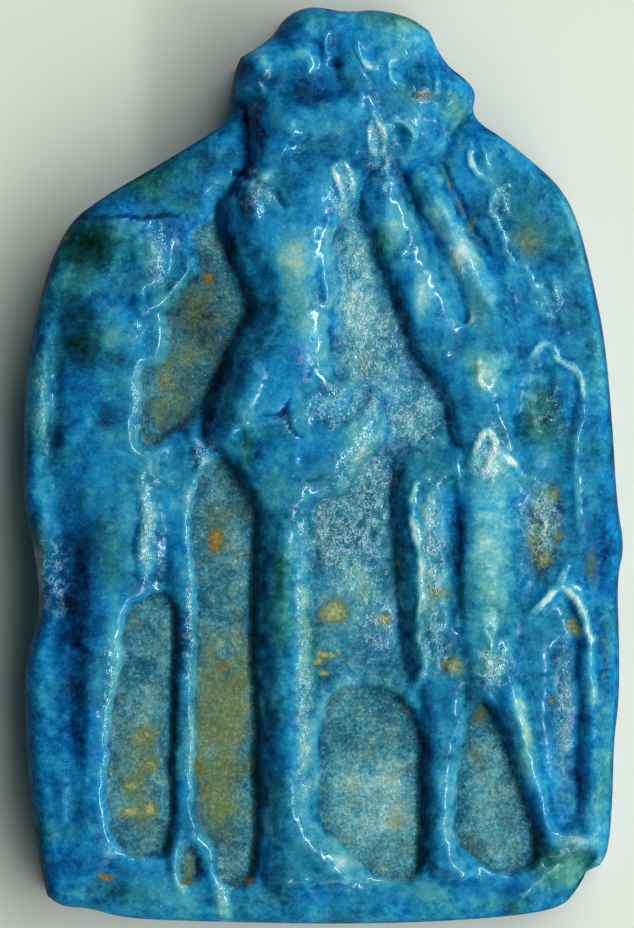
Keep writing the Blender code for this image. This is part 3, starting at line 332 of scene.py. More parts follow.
        [(1.5, 40.2, 0.22, 0.1), (1.8, 39.7, 0.24, 0.16), (2.2, 39.2, 0.24, 0.16), (2.4, 39.5, 0.2, 0.08)],
        [(5.05, 38.9, 0.2, 0.1), (5.15, 38.4, 0.22, 0.14), (5.1, 38.05, 0.2, 0.1), (5.6, 38.15, 0.2, 0.08)],
    ],
    "broken corner": [
        [(10.2, 2.9, 0.25, -0.14), (11.2, 3.0, 0.25, -0.3), (12.2, 3.0, 0.3, -0.35)],
        [(9.4, 1.0, 0.5, -0.2), (10.6, 1.6, 0.9, -0.4), (11.6, 2.3, 0.9, -0.5)],
    ],
}

# Round swellings and hollows: centre, half width, half height and rise in mm
swellings = [
    (-9.4, 30.5, 2.5, 2.2, 0.36), (-13.0, 18.0, 0.8, 1.2, 0.1), (-12.6, 8.7, 0.4, 0.4, 0.1), (-12.5, 7.6, 1.2, 5.6, 0.15),
    (-3.2, 39.1, 1.1, 1.25, 0.16), (6.0, 38.2, 1.0, 1.1, 0.18), (-0.6, 41.0, 1.6, 1.1, 0.16), (2.9, 40.9, 1.8, 1.1, 0.14),
    (-0.75, 39.4, 0.6, 0.5, 0.2), (0.02, 40.35, 0.3, 0.6, 0.15), (0.45, 39.4, 0.5, 0.45, -0.14), (2.2, 39.85, 0.55, 0.6, -0.18),
    (3.7, 39.1, 1.0, 1.05, -0.3), (3.85, 39.2, 0.35, 0.35, 0.08), (1.75, 37.7, 0.75, 0.5, 0.24), (5.4, 38.35, 0.35, 0.4, -0.12),
    (-1.7, 36.4, 0.8, 0.8, 0.16), (3.35, 36.2, 0.55, 0.5, -0.16), (4.5, 38.05, 0.5, 0.2, 0.06),
    (-0.5, 33.3, 1.4, 1.3, 0.2), (-3.2, 32.7, 0.6, 0.8, 0.22), (-2.7, 34.5, 0.5, 0.5, 0.16), (0.15, 32.2, 0.5, 0.4, 0.16),
    (-0.55, 31.6, 0.3, 0.5, 0.12), (-1.95, 28.15, 0.14, 0.14, -0.15), (3.6, 30.7, 0.55, 0.5, 0.2), (3.8, 30.6, 0.28, 0.28, -0.2),
    (7.2, 25.2, 1.0, 1.1, 0.16), (7.3, 24.9, 0.45, 0.5, -0.1), (5.6, 26.15, 0.2, 0.2, 0.12), (9.8, 21.3, 0.9, 0.7, 0.14),
    (7.45, 21.9, 0.3, 0.6, -0.16), (7.7, 20.4, 0.35, 0.3, 0.14), (6.8, 20.6, 0.3, 0.3, 0.1), (5.1, 16.4, 0.7, 4.6, 0.08),
    (-1.75, 23.4, 0.3, 0.25, -0.16), (-0.4, 22.9, 0.25, 0.2, -0.1), (-1.0, 24.2, 0.2, 0.2, -0.06),
    (-1.35, 21.2, 0.35, 0.35, 0.15), (-3.1, 21.55, 0.2, 0.2, -0.15), (11.8, 3.8, 1.1, 0.6, 0.3), (5.8, 11.8, 0.5, 0.48, 0.22),
    (5.7, 12.15, 0.18, 0.18, -0.25), (6.2, 9.3, 0.4, 0.45, 0.14), (6.0, 8.4, 0.25, 0.25, -0.12), (-10.7, 6.6, 0.3, 0.3, -0.14),
    (-10.2, 9.6, 0.25, 0.25, -0.12), (1.1, 2.2, 0.3, 0.3, 0.12), (2.2, 1.6, 0.25, 0.3, -0.08), (10.5, 29.2, 0.3, 0.5, 0.12),
    (7.3, 35.2, 0.5, 0.6, 0.1), (5.0, 19.9, 0.5, 0.4, 0.12), (5.1, 13.2, 0.4, 0.5, 0.14), (7.5, 11.9, 0.3, 0.3, 0.12),
    (8.4, 11.3, 0.35, 0.3, 0.12), (10.1, 16.7, 0.3, 0.3, 0.1), (-8.6, 27.5, 0.3, 0.35, 0.12), (-7.9, 30.9, 0.4, 0.6, 0.12),
    (0.35, 14.3, 0.75, 0.75, 0.06), (1.1, 15.9, 0.35, 0.3, -0.15), (-2.15, 4.6, 0.3, 0.7, 0.1), (12.2, 7.2, 0.4, 0.5, 0.15),
]


# Colour put on the glaze: soft round patches with centre, half width, half height and strength. Most are the glaze's
# own colour; a few dark tone patches are painted shade, marked below.
tints = {
    "tone": [
        (7.5, 17.4, 1.7, 8, 0.3), (4.7, 16.8, 0.8, 4.6, 0.42), (9.15, 8, 0.75, 3.5, 0.32), (7.25, 25.5, 1.4, 1.9, 0.38),
        (3.15, 31.8, 0.9, 2.4, 0.26), (4.45, 28.8, 0.9, 2, 0.46), (6.4, 29.8, 1, 2.6, 0.42), (6.1, 30.6, 0.7, 1.4, 0.26),
        (4.4, 34, 0.9, 1.1, 0.34), (5.2, 32.4, 1, 1.5, 0.36), (5.7, 31.6, 1.1, 1.4, 0.16), (7.3, 28.4, 0.9, 1.9, 0.26),
        (7.65, 12.1, 1.3, 1.1, 0.26), (11.3, 2.6, 1.8, 1.4, 0.36), (11.4, 3.9, 1.5, 0.6, 0.4), (2.45, 36, 0.8, 1.7, 0.44),
        (-8, 34.3, 3.6, 1.6, -0.1), (-7.5, 1.6, 2.4, 1.1, 0.1), (-9.4, 1.4, 1.8, 0.9, -0.1), (-2.6, 33.9, 0.9, 1.3, 0.22),
        # The dark patches at (-5.8, 27.8), (-5, 26) and (-6.8, 23.6) darken the ground beside the torso: partly its own
        # olive colour and partly painted shade from the torso
        (-4.7, 1, 0.7, 1.6, 0.34), (-5.8, 27.8, 1.7, 4.4, -0.26), (-5, 26, 0.9, 3, -0.22), (-6.8, 23.6, 1.4, 2.2, -0.12),
        (3.7, 23.4, 1.6, 1.7, 0.2), (1.4, 28.5, 1.6, 6, 0.3), (2.2, 26.6, 1.6, 2.4, 0.1), (1.7, 15.4, 1.3, 3.8, 0.2),
        (2.6, 12.4, 1.2, 1.8, -0.08), (2.4, 5.4, 2.6, 4, 0.26), (-0.9, 12, 0.6, 9.4, 0.18), (-0.9, 6, 0.5, 1.6, 0.14),
        # The dark patch at (-11, 26.6) is partly painted shade on the left figure's flank turned from the lamp
        (-11, 26.6, 1.4, 3, -0.28), (12.2, 11.4, 0.6, 2.4, 0.2), (10.95, 8.6, 0.8, 4.6, 0.06), (10.5, 12.8, 1.2, 1.4, -0.12),
        (5.4, 36.6, 1.2, 1.2, -0.22), (13.1, 18, 0.9, 14, -0.2), (12.4, 30, 0.9, 6, -0.12), (12.3, 16.2, 0.7, 2, -0.08),
        (10.6, 34.3, 1.7, 1.3, -0.15), (3.5, 1.6, 4.6, 1.1, 0.09), (-9.4, 30.6, 1.6, 1.4, -0.08), (-9.1, 27.2, 1.3, 1.8, 0.16),
        (7.6, 5.8, 1.2, 3.2, 0.14), (-3.9, 28.6, 0.6, 2, -0.1), (-8.8, 19, 1.2, 3.4, 0.1), (-2, 24.6, 1.6, 1.2, 0.1),
        (-4.5, 4.6, 1.2, 1.6, -0.08), (-13.2, 24, 0.8, 3.4, 0.24), (-1.2, 30.2, 1.5, 3.2, 0.3), (-0.5, 26.2, 0.8, 3, 0.22),
        (-1.2, 40, 1, 0.9, 0.16), (3.3, 40.3, 2, 1.4, 0.16), (1.2, 41.2, 2.6, 1, 0.07), (5.4, 38, 1.2, 1.2, 0.06),
        (-1.8, 36.7, 0.9, 0.8, 0.14), (1.6, 37.2, 1.4, 0.8, 0.2), (3.4, 39, 0.6, 1.2, 0.1), (9.8, 24.5, 1.2, 1.8, 0.1),
        (-8.1, 17.8, 0.6, 3, 0.3), (-0.3, 31.8, 1, 0.8, 0.18), (0.9, 33.2, 0.8, 2.4, 0.14), (-0.5, 33.2, 1, 1, -0.05),
        (1.6, 22, 1.6, 3, 0.24), (7.6, 21.4, 1.3, 1.4, 0.22), (8.8, 10.2, 0.6, 1.2, 0.2), (0.9, 2.9, 1, 0.6, 0.3),
        (-2.4, 4.4, 0.5, 1.2, 0.2), (-9.6, 12, 0.6, 4, 0.16), (11.2, 15.2, 1.4, 1, 0.1), (9.9, 28.6, 1.6, 1.8, 0.06),
        # The dark patches at (-11.2, 16) and (-11.5, 10.6) are partly painted shade on the left figure's flank turned
        # from the lamp
        (7.6, 33.6, 1.2, 1.8, 0.1), (5.4, 6.4, 0.4, 3, 0.12), (-11.2, 16, 1.6, 6.5, -0.3), (-11.5, 10.6, 1.1, 4.6, -0.26),
        (-10, 23.2, 1, 1, -0.3), (-4.2, 31, 0.6, 2.2, -0.2), (-1.7, 33.8, 0.7, 1.3, -0.16), (-0.8, 38.2, 1.1, 0.9, -0.24),
        (-1.3, 40.4, 0.9, 0.5, -0.16), (0.5, 39.3, 0.6, 0.5, -0.2), (-3.6, 39.3, 0.8, 0.9, -0.12), (-1.2, 35.2, 1.2, 0.6, -0.12),
        (-2.9, 37, 0.5, 2.4, -0.2), (-4, 24.4, 0.8, 1.6, -0.1), (6.1, 17, 0.5, 5, -0.24), (-10.8, 31.2, 1.6, 1.6, -0.24),
        (-12.3, 22, 0.8, 3, -0.1), (3.6, 19, 0.3, 4, -0.14), (10.8, 19, 0.5, 0.8, -0.24), (-1.7, 23.5, 0.4, 0.5, -0.2),
        (8.4, 1.6, 0.9, 0.4, -0.14), (-5.2, 22.6, 0.6, 1.2, -0.1), (-12, 2.6, 1.4, 1.4, -0.1), (-5.6, 35, 1.8, 1.2, -0.1),
        (10, 17.4, 1, 2.6, -0.12), (-7.5, 28.7, 0.9, 0.7, 0.12), (0.5, 21.4, 0.8, 0.6, -0.07), (5.6, 29.4, 0.5, 1.8, 0.06),
    ],
    "green": [
        (0, 15, 16, 30, 0.4), (-8, 30.8, 2.4, 1.6, 0.5), (-10.4, 26.6, 2.4, 2.6, 0.5), (-5.6, 35, 2, 1.2, 0.4),
        (10, 17.4, 1.2, 2.8, 0.5), (10, 23.6, 1.6, 2.6, 0.9), (-4.6, 9.8, 1.6, 7, 0.7), (-0.6, 31, 2.4, 3, -0.4),
        (-1.6, 25, 2.4, 2.6, -0.5), (-0.5, 22, 2, 1.4, -0.4), (-9.2, 28, 1.4, 1.2, -0.3), (-12.8, 24.6, 1.2, 6, 0.5),
        (12.2, 22, 1.4, 8, 0.35), (12.8, 7, 0.9, 5, 0.6), (6, 37.2, 1.1, 1.6, 0.7), (3.2, 41.4, 2.4, 0.9, 0.7),
        (-0.6, 41.4, 1.8, 0.7, 0.3), (11.4, 30.4, 1.6, 4, 0.5), (-8.6, 7, 1.4, 4.6, 0.35), (-4.6, 4.6, 1.5, 3, 0.5),
        (-9.6, 1.5, 4, 1.2, 0.5), (-6.2, 27, 1.8, 5.2, 0.6), (-8, 34.1, 3.4, 1.7, 0.7), (-10.7, 31.3, 2.6, 2, 1.3),
        (-11.8, 29, 2, 3.4, 0.7), (-9.8, 27, 1.6, 1.6, 0.3), (-13.2, 17.2, 1.2, 2.2, 0.8), (8.8, 33.2, 2.2, 2.8, 0.4),
        (-0.7, 13, 0.7, 6, 0.4), (-1.4, 30.4, 1.1, 2.6, 0.7), (-13, 4, 1, 2, 0.6), (11, 2.6, 2.8, 2.2, 1),
        (8.6, 1, 2.4, 0.7, 0.6), (-1.9, 14.5, 0.8, 5, 0.6), (7.6, 15, 1, 6, 0.15), (4.9, 33.2, 1, 2.4, 0.3),
        (5.6, 34.6, 0.7, 1.2, 0.6), (9.3, 31.3, 1.8, 1.8, 0.6), (1.2, 38.6, 0.6, 0.7, 0.4), (4, 38, 1, 0.8, 0.4),
        (6.7, 9, 0.6, 2, 0.4), (9.3, 8, 0.6, 3, 0.3), (-9.6, 17.4, 1.2, 2.4, 0.4), (7, 25.6, 1, 1.2, 0.5),
        (-3.6, 22, 0.6, 1.4, 0.6), (2.6, 31.6, 0.5, 1.4, 0.5), (13, 14, 0.6, 3, 0.4), (-6.2, 32.8, 1.2, 0.8, 0.5),
        (-2, 6.3, 0.7, 1, 0.4), (3.6, 2, 5, 1.4, 0.1),
    ],
    "ochre": [
        (-4.6, 9.6, 2.0, 5.8, 0.42), (-4.6, 5.4, 1.6, 3.4, 0.36), (-3.8, 11.4, 0.9, 3.4, 0.3), (-8.6, 7.2, 1.4, 4.4, 0.36), (-4.8, 18.0, 1.3, 2.6, 0.3), (-5.8, 27.4, 2.3, 4.0, 0.38), (-7.0, 24.2, 1.6, 2.8, 0.36), (-8.4, 5.6, 0.9, 1.6, 0.25), (9.3, 31.3, 1.5, 1.4, 0.3),
        (0.46, 14.3, 1.15, 1.15, 1.5), (2.75, 14.0, 0.6, 0.55, 1.4), (0.1, 12.4, 0.9, 0.3, 1.4), (-0.3, 12.05, 0.6, 0.3, 1.2),
        (-0.05, 11.55, 0.5, 0.25, 1.2), (5.8, 11.85, 1.0, 1.0, 1.0), (5.3, 15.2, 0.85, 0.75, 0.9), (10.15, 16.7, 0.75, 0.75, 0.8),
        (11.4, 13.6, 0.75, 1.0, 0.95), (10.5, 19.8, 0.75, 0.75, 0.9), (10.75, 17.75, 0.5, 0.5, 0.9), (-8.85, 5.1, 0.8, 0.4, 1.1),
        (-7.95, 5.2, 0.6, 0.45, 1.1), (-8.9, 6.3, 0.6, 0.4, 0.8), (-7.9, 7.3, 0.6, 0.5, 0.8), (-8.2, 8.6, 0.9, 0.8, 0.8),
        (-8.4, 6.8, 0.35, 0.25, 0.7), (-12.6, 3.0, 0.5, 0.7, 0.5), (10.4, 10.3, 0.4, 0.5, 0.9), (10.6, 7.4, 0.3, 0.4, 0.5),
        (9.3, 31.2, 1.8, 1.7, 0.3), (-5.3, 29.3, 0.8, 1.1, 0.2), (-7.2, 25.4, 0.7, 1.4, 0.2),
        (-5.3, 11.6, 0.9, 3.6, 0.3), (-5.6, 8.0, 0.7, 3.8, 0.36), (-4.4, 9.0, 1.3, 3.4, 0.3), (-4.9, 5.6, 1.2, 2.4, 0.3),
        (12.2, 16.4, 0.8, 2.2, 0.62), (12.8, 12.0, 0.5, 4.6, 0.46), (-6.2, 2.5, 0.5, 0.9, 0.6), (-7.6, 23.2, 0.6, 1.4, 0.2),
        (7.1, 9.6, 0.4, 0.7, 0.6), (7.0, 7.6, 0.6, 1.2, 0.3), (-1.65, 6.1, 0.2, 0.2, 0.8), (3.0, 15.0, 0.3, 0.6, 0.4),
        (2.0, 25.6, 0.8, 1.4, 0.35), (2.8, 28.0, 0.5, 0.9, 0.4), (9.0, 10.4, 0.25, 0.25, 0.7), (5.8, 33.9, 0.4, 0.9, 0.6), (6.2, 33.0, 0.4, 0.9, 0.65), (6.7, 32.0, 0.4, 0.9, 0.65), (7.0, 31.2, 0.4, 0.9, 0.5),
        (8.4, 0.7, 0.7, 0.25, 0.7), (9.6, 17.6, 0.9, 2.8, 0.4), (-10.0, 2.3, 0.6, 0.3, 0.5), (3.3, 4.8, 0.8, 1.4, 0.3),
    ],
    "rust": [
        (-4.95, 17.6, 0.75, 1.3, 1.1), (-4.6, 11.8, 0.6, 0.8, 0.75), (-5.3, 6.3, 0.5, 0.45, 1.0), (-5.7, 7.2, 0.4, 0.6, 0.9),
        (-10.0, 2.25, 0.9, 0.35, 1.0), (-6.3, 1.95, 0.6, 0.4, 1.0), (-3.4, 2.0, 0.5, 0.4, 0.9), (-8.9, 4.6, 0.3, 0.3, 0.5),
        (-5.2, 10.0, 0.8, 1.6, 0.5), (-4.2, 14.2, 0.6, 1.2, 0.5), (-5.5, 28.2, 0.4, 0.5, 0.6), (-7.4, 25.0, 0.4, 0.7, 0.6),
        (-6.9, 26.7, 0.3, 0.4, 0.6), (-4.9, 27.0, 0.3, 0.3, 0.6), (-5.3, 29.6, 0.4, 0.6, 0.7),
        (9.4, 31.0, 0.6, 0.6, 0.5), (-13.3, 16.7, 0.4, 1.0, 0.8), (-11.8, 31.5, 0.6, 0.3, 0.7), (3.4, 16.5, 0.25, 0.25, 0.9),
        (-5.1, 29.6, 0.3, 0.5, 0.6), (-5.2, 23.0, 0.25, 0.3, 0.6), (-0.3, 37.55, 0.15, 0.15, 0.8), (-3.6, 9.0, 0.4, 0.8, 0.5),
        (10.9, 13.0, 0.2, 0.2, 0.6), (-3.6, 4.65, 0.2, 0.2, 0.9), (-4.0, 1.8, 0.25, 0.2, 0.7), (-5.2, 8.6, 0.25, 0.35, 0.6),
        (2.3, 36.4, 0.5, 0.4, 0.5), (4.6, 38.05, 1.0, 0.32, 0.9), (10.4, 10.4, 0.2, 0.25, 0.7), (9.9, 11.2, 0.15, 0.3, 0.7),
    ],
    "dull": [
        (-3.4, 39.4, 1.4, 1.8, 1.0), (13.2, 12.0, 0.7, 14.0, 1.0), (12.6, 28.0, 1.2, 7.0, 1.0), (10.8, 34.0, 2.0, 1.6, 1.0),
        (0.8, 42.0, 4.0, 0.8, 1.0), (5.2, 40.4, 0.8, 1.4, 1.0), (6.6, 37.8, 0.9, 1.4, 0.8), (11.2, 1.6, 1.8, 1.6, 1.0),
        (-9.4, 30.8, 2.6, 2.2, 1.0), (7.7, 17.0, 1.4, 5.4, 1.0), (-12.6, 32.0, 2.4, 3.0, 0.8), (-13.6, 26.0, 0.5, 5.0, 0.8), (-13.5, 10.0, 0.6, 9.0, 0.8), (-6.0, 0.3, 7.5, 0.7, 0.9),
        (6.0, 0.3, 6.0, 0.7, 0.9), (12.9, 4.0, 0.7, 3.0, 0.8), (-1.4, 34.6, 1.4, 0.8, 0.6),
        (8.9, 36.0, 2.2, 1.4, 0.7), (8.7, 15.0, 0.7, 7.0, 0.7), (-8.5, 35.0, 3.5, 1.4, 0.8), (0.6, 9.0, 1.0, 8.0, 0.5),
        (10.0, 24.2, 1.6, 2.4, 1.0), (-3.6, 24.4, 1.0, 2.0, 0.8), (10.6, 9.5, 0.9, 4.5, 0.8), (0.7, 27.0, 0.4, 3.0, 1.0),
        (1.0, 20.3, 0.7, 0.5, 0.6), (5.75, 16.5, 0.4, 4.4, 1.4), (9.25, 22.4, 0.35, 2.4, 1.4),
        (-1.6, 11.4, 0.6, 9.8, 1.5), (9.35, 17.4, 0.4, 3.0, 1.3), (-6.3, 31.3, 0.7, 1.2, 1.4), (-5.6, 32.9, 0.8, 1.3, 1.4),
        (-7.3, 20.2, 0.5, 2.4, 1.3), (5.3, 16.5, 0.5, 4.4, 1.3), (7.5, 29.0, 0.6, 1.8, 1.3), (8.2, 27.0, 0.7, 2.4, 1.4), (4.9, 33.2, 1.2, 2.2, 1.7),
        (5.9, 31.2, 0.8, 1.8, 1.5), (5.0, 37.3, 1.3, 0.7, 1.2), (7.7, 25.4, 0.5, 1.0, 0.8), (-11.8, 9.0, 0.5, 5.0, 1.2),
    ],
    "grit": [
        (1.2, 33.6, 0.7, 1.6, 0.3), (2.4, 36.2, 0.5, 1.6, 0.12), (4.5, 38.0, 0.9, 0.35, 1.3), (3.4, 34.2, 0.4, 0.9, 0.6),
        (6.3, 30.6, 0.5, 1.1, 0.2), (-3.0, 33.6, 0.9, 0.8, 0.5), (-1.7, 23.3, 0.5, 0.4, 0.8), (9.4, 31.4, 1.6, 1.6, 0.5),
        (10.0, 18.0, 1.4, 3.0, 0.5), (4.9, 14.0, 0.9, 3.4, 0.4), (7.9, 12.0, 1.0, 0.8, 0.6), (-13.1, 17.0, 0.7, 1.6, 0.7),
        (-0.9, 8.0, 0.7, 5.0, 0.5), (-8.2, 18.0, 0.6, 2.2, 0.5), (6.2, 35.8, 0.5, 0.7, 0.6), (8.8, 21.6, 0.7, 1.6, 0.3),
        (7.6, 21.0, 0.9, 1.0, 0.4), (-4.8, 1.2, 0.6, 1.2, 0.4), (11.0, 9.0, 0.5, 5.0, 0.4), (-12.0, 8.0, 0.8, 3.0, 0.2),
        (0.0, 18.0, 0.8, 3.0, 0.4), (-6.2, 19.5, 0.7, 2.0, 0.4), (11.2, 3.8, 1.0, 0.5, 0.3), (5.0, 20.6, 0.8, 0.5, 0.3),
    ],
}


def ramp(low, high, value):
    share = np.clip((value - low) / (high - low), 0.0, 1.0)
    return share * share * (3.0 - 2.0 * share)


def roundedStep(low, high, value):
    # Upright at its foot and rounded at its top
    share = np.clip((value - low) / (high - low), 0.0, 1.0)
    return np.sqrt(1.0 - (1.0 - share) ** 2)


def cutCorners(points, closed, passes=2):
    path = np.array(points, dtype=float)
    for _ in range(passes):
        start = path if closed else path[:-1]
        end = np.roll(path, -1, axis=0) if closed else path[1:]
        pairs = np.stack([0.75 * start + 0.25 * end, 0.25 * start + 0.75 * end], axis=1)
        cut = pairs.reshape(-1, path.shape[1])
        path = cut if closed else np.vstack([path[:1], cut[1:-1], path[-1:]])
    return path


def near(x, y, path, reach):
    # The places worth working out for a path, the rest stay at nothing
    low = path[:, :2].min(axis=0) - reach
    high = path[:, :2].max(axis=0) + reach
    return (x > low[0]) & (x < high[0]) & (y > low[1]) & (y < high[1])


def segmentShare(x, y, start, end):
    run = end[:2] - start[:2]
    along = ((x - start[0]) * run[0] + (y - start[1]) * run[1]) / max(run @ run, 1e-12)
    share = np.clip(along, 0.0, 1.0)
    return share, np.hypot(x - start[0] - share * run[0], y - start[1] - share * run[1])


def depthInside(x, y, corners, reach):
    # Distance to an outline, above zero inside it
    path = cutCorners(corners, closed=True)
    depth = np.full(x.shape, -np.inf)
    inBox = near(x, y, path, reach)
    boxX = x[inBox]
    boxY = y[inBox]
    nearest = np.full(boxX.shape, np.inf)
    inside = np.zeros(boxX.shape, dtype=bool)
    for start, end in zip(path, np.roll(path, -1, axis=0)):
        nearest = np.minimum(nearest, segmentShare(boxX, boxY, start, end)[1])
        if start[1] != end[1]:
            crossing = start[0] + (boxY - start[1]) * (end[0] - start[0]) / (end[1] - start[1])
            inside ^= ((start[1] > boxY) != (end[1] > boxY)) & (boxX < crossing)
    depth[inBox] = np.where(inside, nearest, -nearest)
    return depth


def strokeHeight(x, y, points):
    # A ridge is round in section with a sharp foot, and a groove has soft edges
    path = cutCorners(points, closed=False)
    height = np.zeros(x.shape)
    inBox = near(x, y, path, path[:, 2].max())
    boxX = x[inBox]
    boxY = y[inBox]
    best = np.zeros(boxX.shape)
    for start, end in zip(path[:-1], path[1:]):
        share, off = segmentShare(boxX, boxY, start, end)
        halfWidth = start[2] + (end[2] - start[2]) * share
        rise = start[3] + (end[3] - start[3]) * share
        aside = np.clip(off / halfWidth, 0.0, 1.0)
        here = np.where(rise > 0.0, rise * (1.0 - aside ** 2) ** 0.7, rise * (1.0 - ramp(plaqueForm["flatTop"], 1.0, aside)))
        best = np.where(np.abs(here) > np.abs(best), here, best)
    height[inBox] = best
    return height


def swellingHeight(x, y, swelling):
    centreX, centreY, halfWidth, halfHeight, rise = swelling
    off = np.hypot((x - centreX) / halfWidth, (y - centreY) / halfHeight)
    return rise * (1.0 - ramp(0.0, 1.0, off))


def blendHighest(first, second, width):
    share = np.clip(0.5 + 0.5 * (second - first) / width, 0.0, 1.0)
    return first * (1.0 - share) + second * share + width * share * (1.0 - share)


def unevenness(x, y, size, seed):
    # Smooth noise between about -1 and 1, worked out at each place
    flat = [noise.noise(Vector((a / size + seed, b / size - seed, seed * 1.7))) for a, b in zip(x.ravel(), y.ravel())]
    return np.array(flat).reshape(x.shape) * 1.6


def pointsAlong(edge, axis, values):
    path = cutCorners(edge, closed=False)
    return np.interp(values, path[:, axis], path[:, 1 - axis])


def faceGrid(form):
    # Rows run from the left edge to the right, columns from the foot to the top
    across, along = np.meshgrid(np.linspace(0.0, 1.0, form["cellsAcross"] + 1),
                                np.linspace(0.0, 1.0, form["cellsAlong"] + 1))
    foot = edgeRuns["foot"]
    top = edgeRuns["top"]
    footX = foot[0][0] + (foot[-1][0] - foot[0][0]) * across
    topX = top[0][0] + (top[-1][0] - top[0][0]) * across
    footY = pointsAlong(foot, 0, footX)
    y = footY + (pointsAlong(top, 0, topX) - footY) * along
    leftX = pointsAlong(edgeRuns["left"], 1, y[:, 0])[:, None]
    rightX = pointsAlong(edgeRuns["right"], 1, y[:, -1])[:, None]
    return leftX + (rightX - leftX) * across, y


def distanceToRim(x, y):
    rim = np.concatenate([np.stack([x[side], y[side]], axis=1) for side in (np.s_[0], np.s_[-1], np.s_[:, 0], np.s_[:, -1])])
    nearest = np.full(x.shape, np.inf)
    for rimX, rimY in rim:
        nearest = np.minimum(nearest, (x - rimX) ** 2 + (y - rimY) ** 2)
    return np.sqrt(nearest)


def carvedFace(form, x, y, fromRim):
    # Height of the carving in metres, and how gritty and how crusted each place is
    strayX = x + form["wander"] * unevenness(x, y, form["wanderSize"], 3.1)
    strayY = y + form["wander"] * unevenness(x, y, form["wanderSize"], 9.7)
    strayX += 0.6 * form["wander"] * unevenness(x, y, 0.4 * form["wanderSize"], 5.3)
    strayY += 0.6 * form["wander"] * unevenness(x, y, 0.4 * form["wanderSize"], 7.9)
    height = np.full(x.shape, form["slabThickness"])
    crest = np.zeros(x.shape)
    for name, (corners, wall, rise, crown, reach) in raisedForms.items():
        depth = depthInside(strayX, strayY, corners, wall)
        inward = np.clip(depth / reach, 0.0, 1.0)
        raised = rise * roundedStep(-wall / 2, wall / 2, depth) + crown * (1.0 - (1.0 - inward) ** 2)
        if name in fades:
            axis, lowest, full, least = fades[name]
            raised *= least + (1.0 - least) * ramp(lowest, full, (strayX, strayY)[axis])
        height = blendHighest(height, form["slabThickness"] + raised * mm - form["blendWidth"] / 2, form["blendWidth"])
    for group in strokes.values():
        for path in group:
            stroke = strokeHeight(strayX, strayY, path)
            if max(point[2] for point in path) < 0.3:
                crest = np.where(np.abs(stroke / 0.15) > np.abs(crest), stroke / 0.15, crest)
                stroke *= form["thinShare"]
            height += stroke * mm
    for swelling in swellings:
        height += swellingHeight(strayX, strayY, swelling) * mm
    grit = np.zeros(x.shape)
    for corners, wall, floorHeight, gritty in sunkAreas.values():
        share = 1.0 - roundedStep(-wall / 2, wall / 2, -depthInside(strayX, strayY, corners, wall))
        floor = np.minimum(height, form["slabThickness"] - form["sunkDepth"] + floorHeight * mm)
        height = height * (1.0 - share) + floor * share
        grit = np.maximum(grit, share * gritty)
    lumpy = np.clip(sum(swellingHeight(strayX, strayY, patch) for patch in lumps), 0.0, 1.0)
    height += (0.035 * unevenness(x, y, 1.3, 4.4) + 0.018 * unevenness(x, y, 0.5, 8.2)) * mm
    height += lumpy * 0.07 * unevenness(x, y, 0.42, 12.6) * mm
    overEdge = np.clip(1.0 - fromRim * mm / form["rimRadius"], 0.0, 1.0)
    height -= form["rimDrop"] * (1.0 - np.sqrt(1.0 - overEdge ** 2))
    return height, grit, lumpy, crest


def blurred(values, passes):
    for _ in range(passes):
        for axis in (0, 1):
            padded = np.pad(values, [(1, 1) if side == axis else (0, 0) for side in (0, 1)], mode="edge")
            before, after = (padded[:-2], padded[2:]) if axis == 0 else (padded[:, :-2], padded[:, 2:])
            values = 0.25 * before + 0.5 * values + 0.25 * after
    return values


def glazeMasks(x, y, height, grit, crust, crest, fromRim):
    # The glaze is pale where it ran thin over a crest and deep where it pooled at the foot of a wall. Light and shade
    # are painted in as well: slopes facing the lamp are painted paler and slopes turned from it painted darker.
    strayX = x + 0.12 * unevenness(x, y, 0.9, 2.3)
    strayY = y + 0.12 * unevenness(x, y, 0.9, 6.1)
    masks = {name: sum(swellingHeight(strayX, strayY, patch) for patch in patches) for name, patches in tints.items()}
    broken = np.clip(0.75 + 0.9 * unevenness(x, y, 0.8, 15.2), 0.15, 1.0)
    # Thin ridges get a pale line, partly thin glaze and partly a painted highlight; thin grooves get darker
    masks["tone"] += 0.46 * broken * np.clip(crest, 0.0, 1.0) ** 6 - 0.22 * np.clip(-crest, 0.0, 1.0)
    standing = height - blurred(height, 12)
    slope = np.gradient(blurred(height, 2), axis=1) / np.gradient(x, axis=1) / mm
    # Painted light and shade: slopes facing the lamp on the right get paler, proud places mostly on that side, and
    # slopes turned from it get darker
    paintedLitSlope = np.clip(-slope / 0.9, -1.0, 1.0)
    masks["tone"] += 0.45 + 0.16 * np.clip(standing / (0.10 * mm), 0.0, 1.0) * np.clip(paintedLitSlope + 0.3, 0.0, 1.0)
    masks["tone"] -= 0.1 * np.clip(-standing / (0.12 * mm), 0.0, 1.0) + 0.14 * np.clip(-paintedLitSlope, 0.0, 1.0)
    # It shines on what stands proud, and not in creases, on walls turned from the lamp or at the rim
    crease = ramp(0.004, 0.02, (blurred(height, 3) - height) / mm)
    farWall = ramp(0.7, 1.6, slope)
    masks["dull"] = np.maximum.reduce([masks["dull"], 1.0 - ramp(0.5, 1.3, fromRim), crease, farWall])
    masks["dull"] = np.clip(masks["dull"], 0.0, 1.0)
    masks["grit"] = np.clip(np.maximum(masks["grit"], 0.0) + grit, 0.0, 1.0)
    masks["crust"] = crust
    return masks


def stretched(steps, low, high):
    return low + (steps - steps.min()) / (steps.max() - steps.min()) * (high - low)


def saveMask(mesh, name, values):
    mesh.attributes.new(name, "FLOAT", "POINT").data.foreach_set("value", values.astype(np.float32).ravel())


wallTones = {"tone": 0.42, "green": 0.25, "ochre": 0.0, "rust": 0.0, "grit": 0.0, "dull": 1.0, "crust": 0.0}


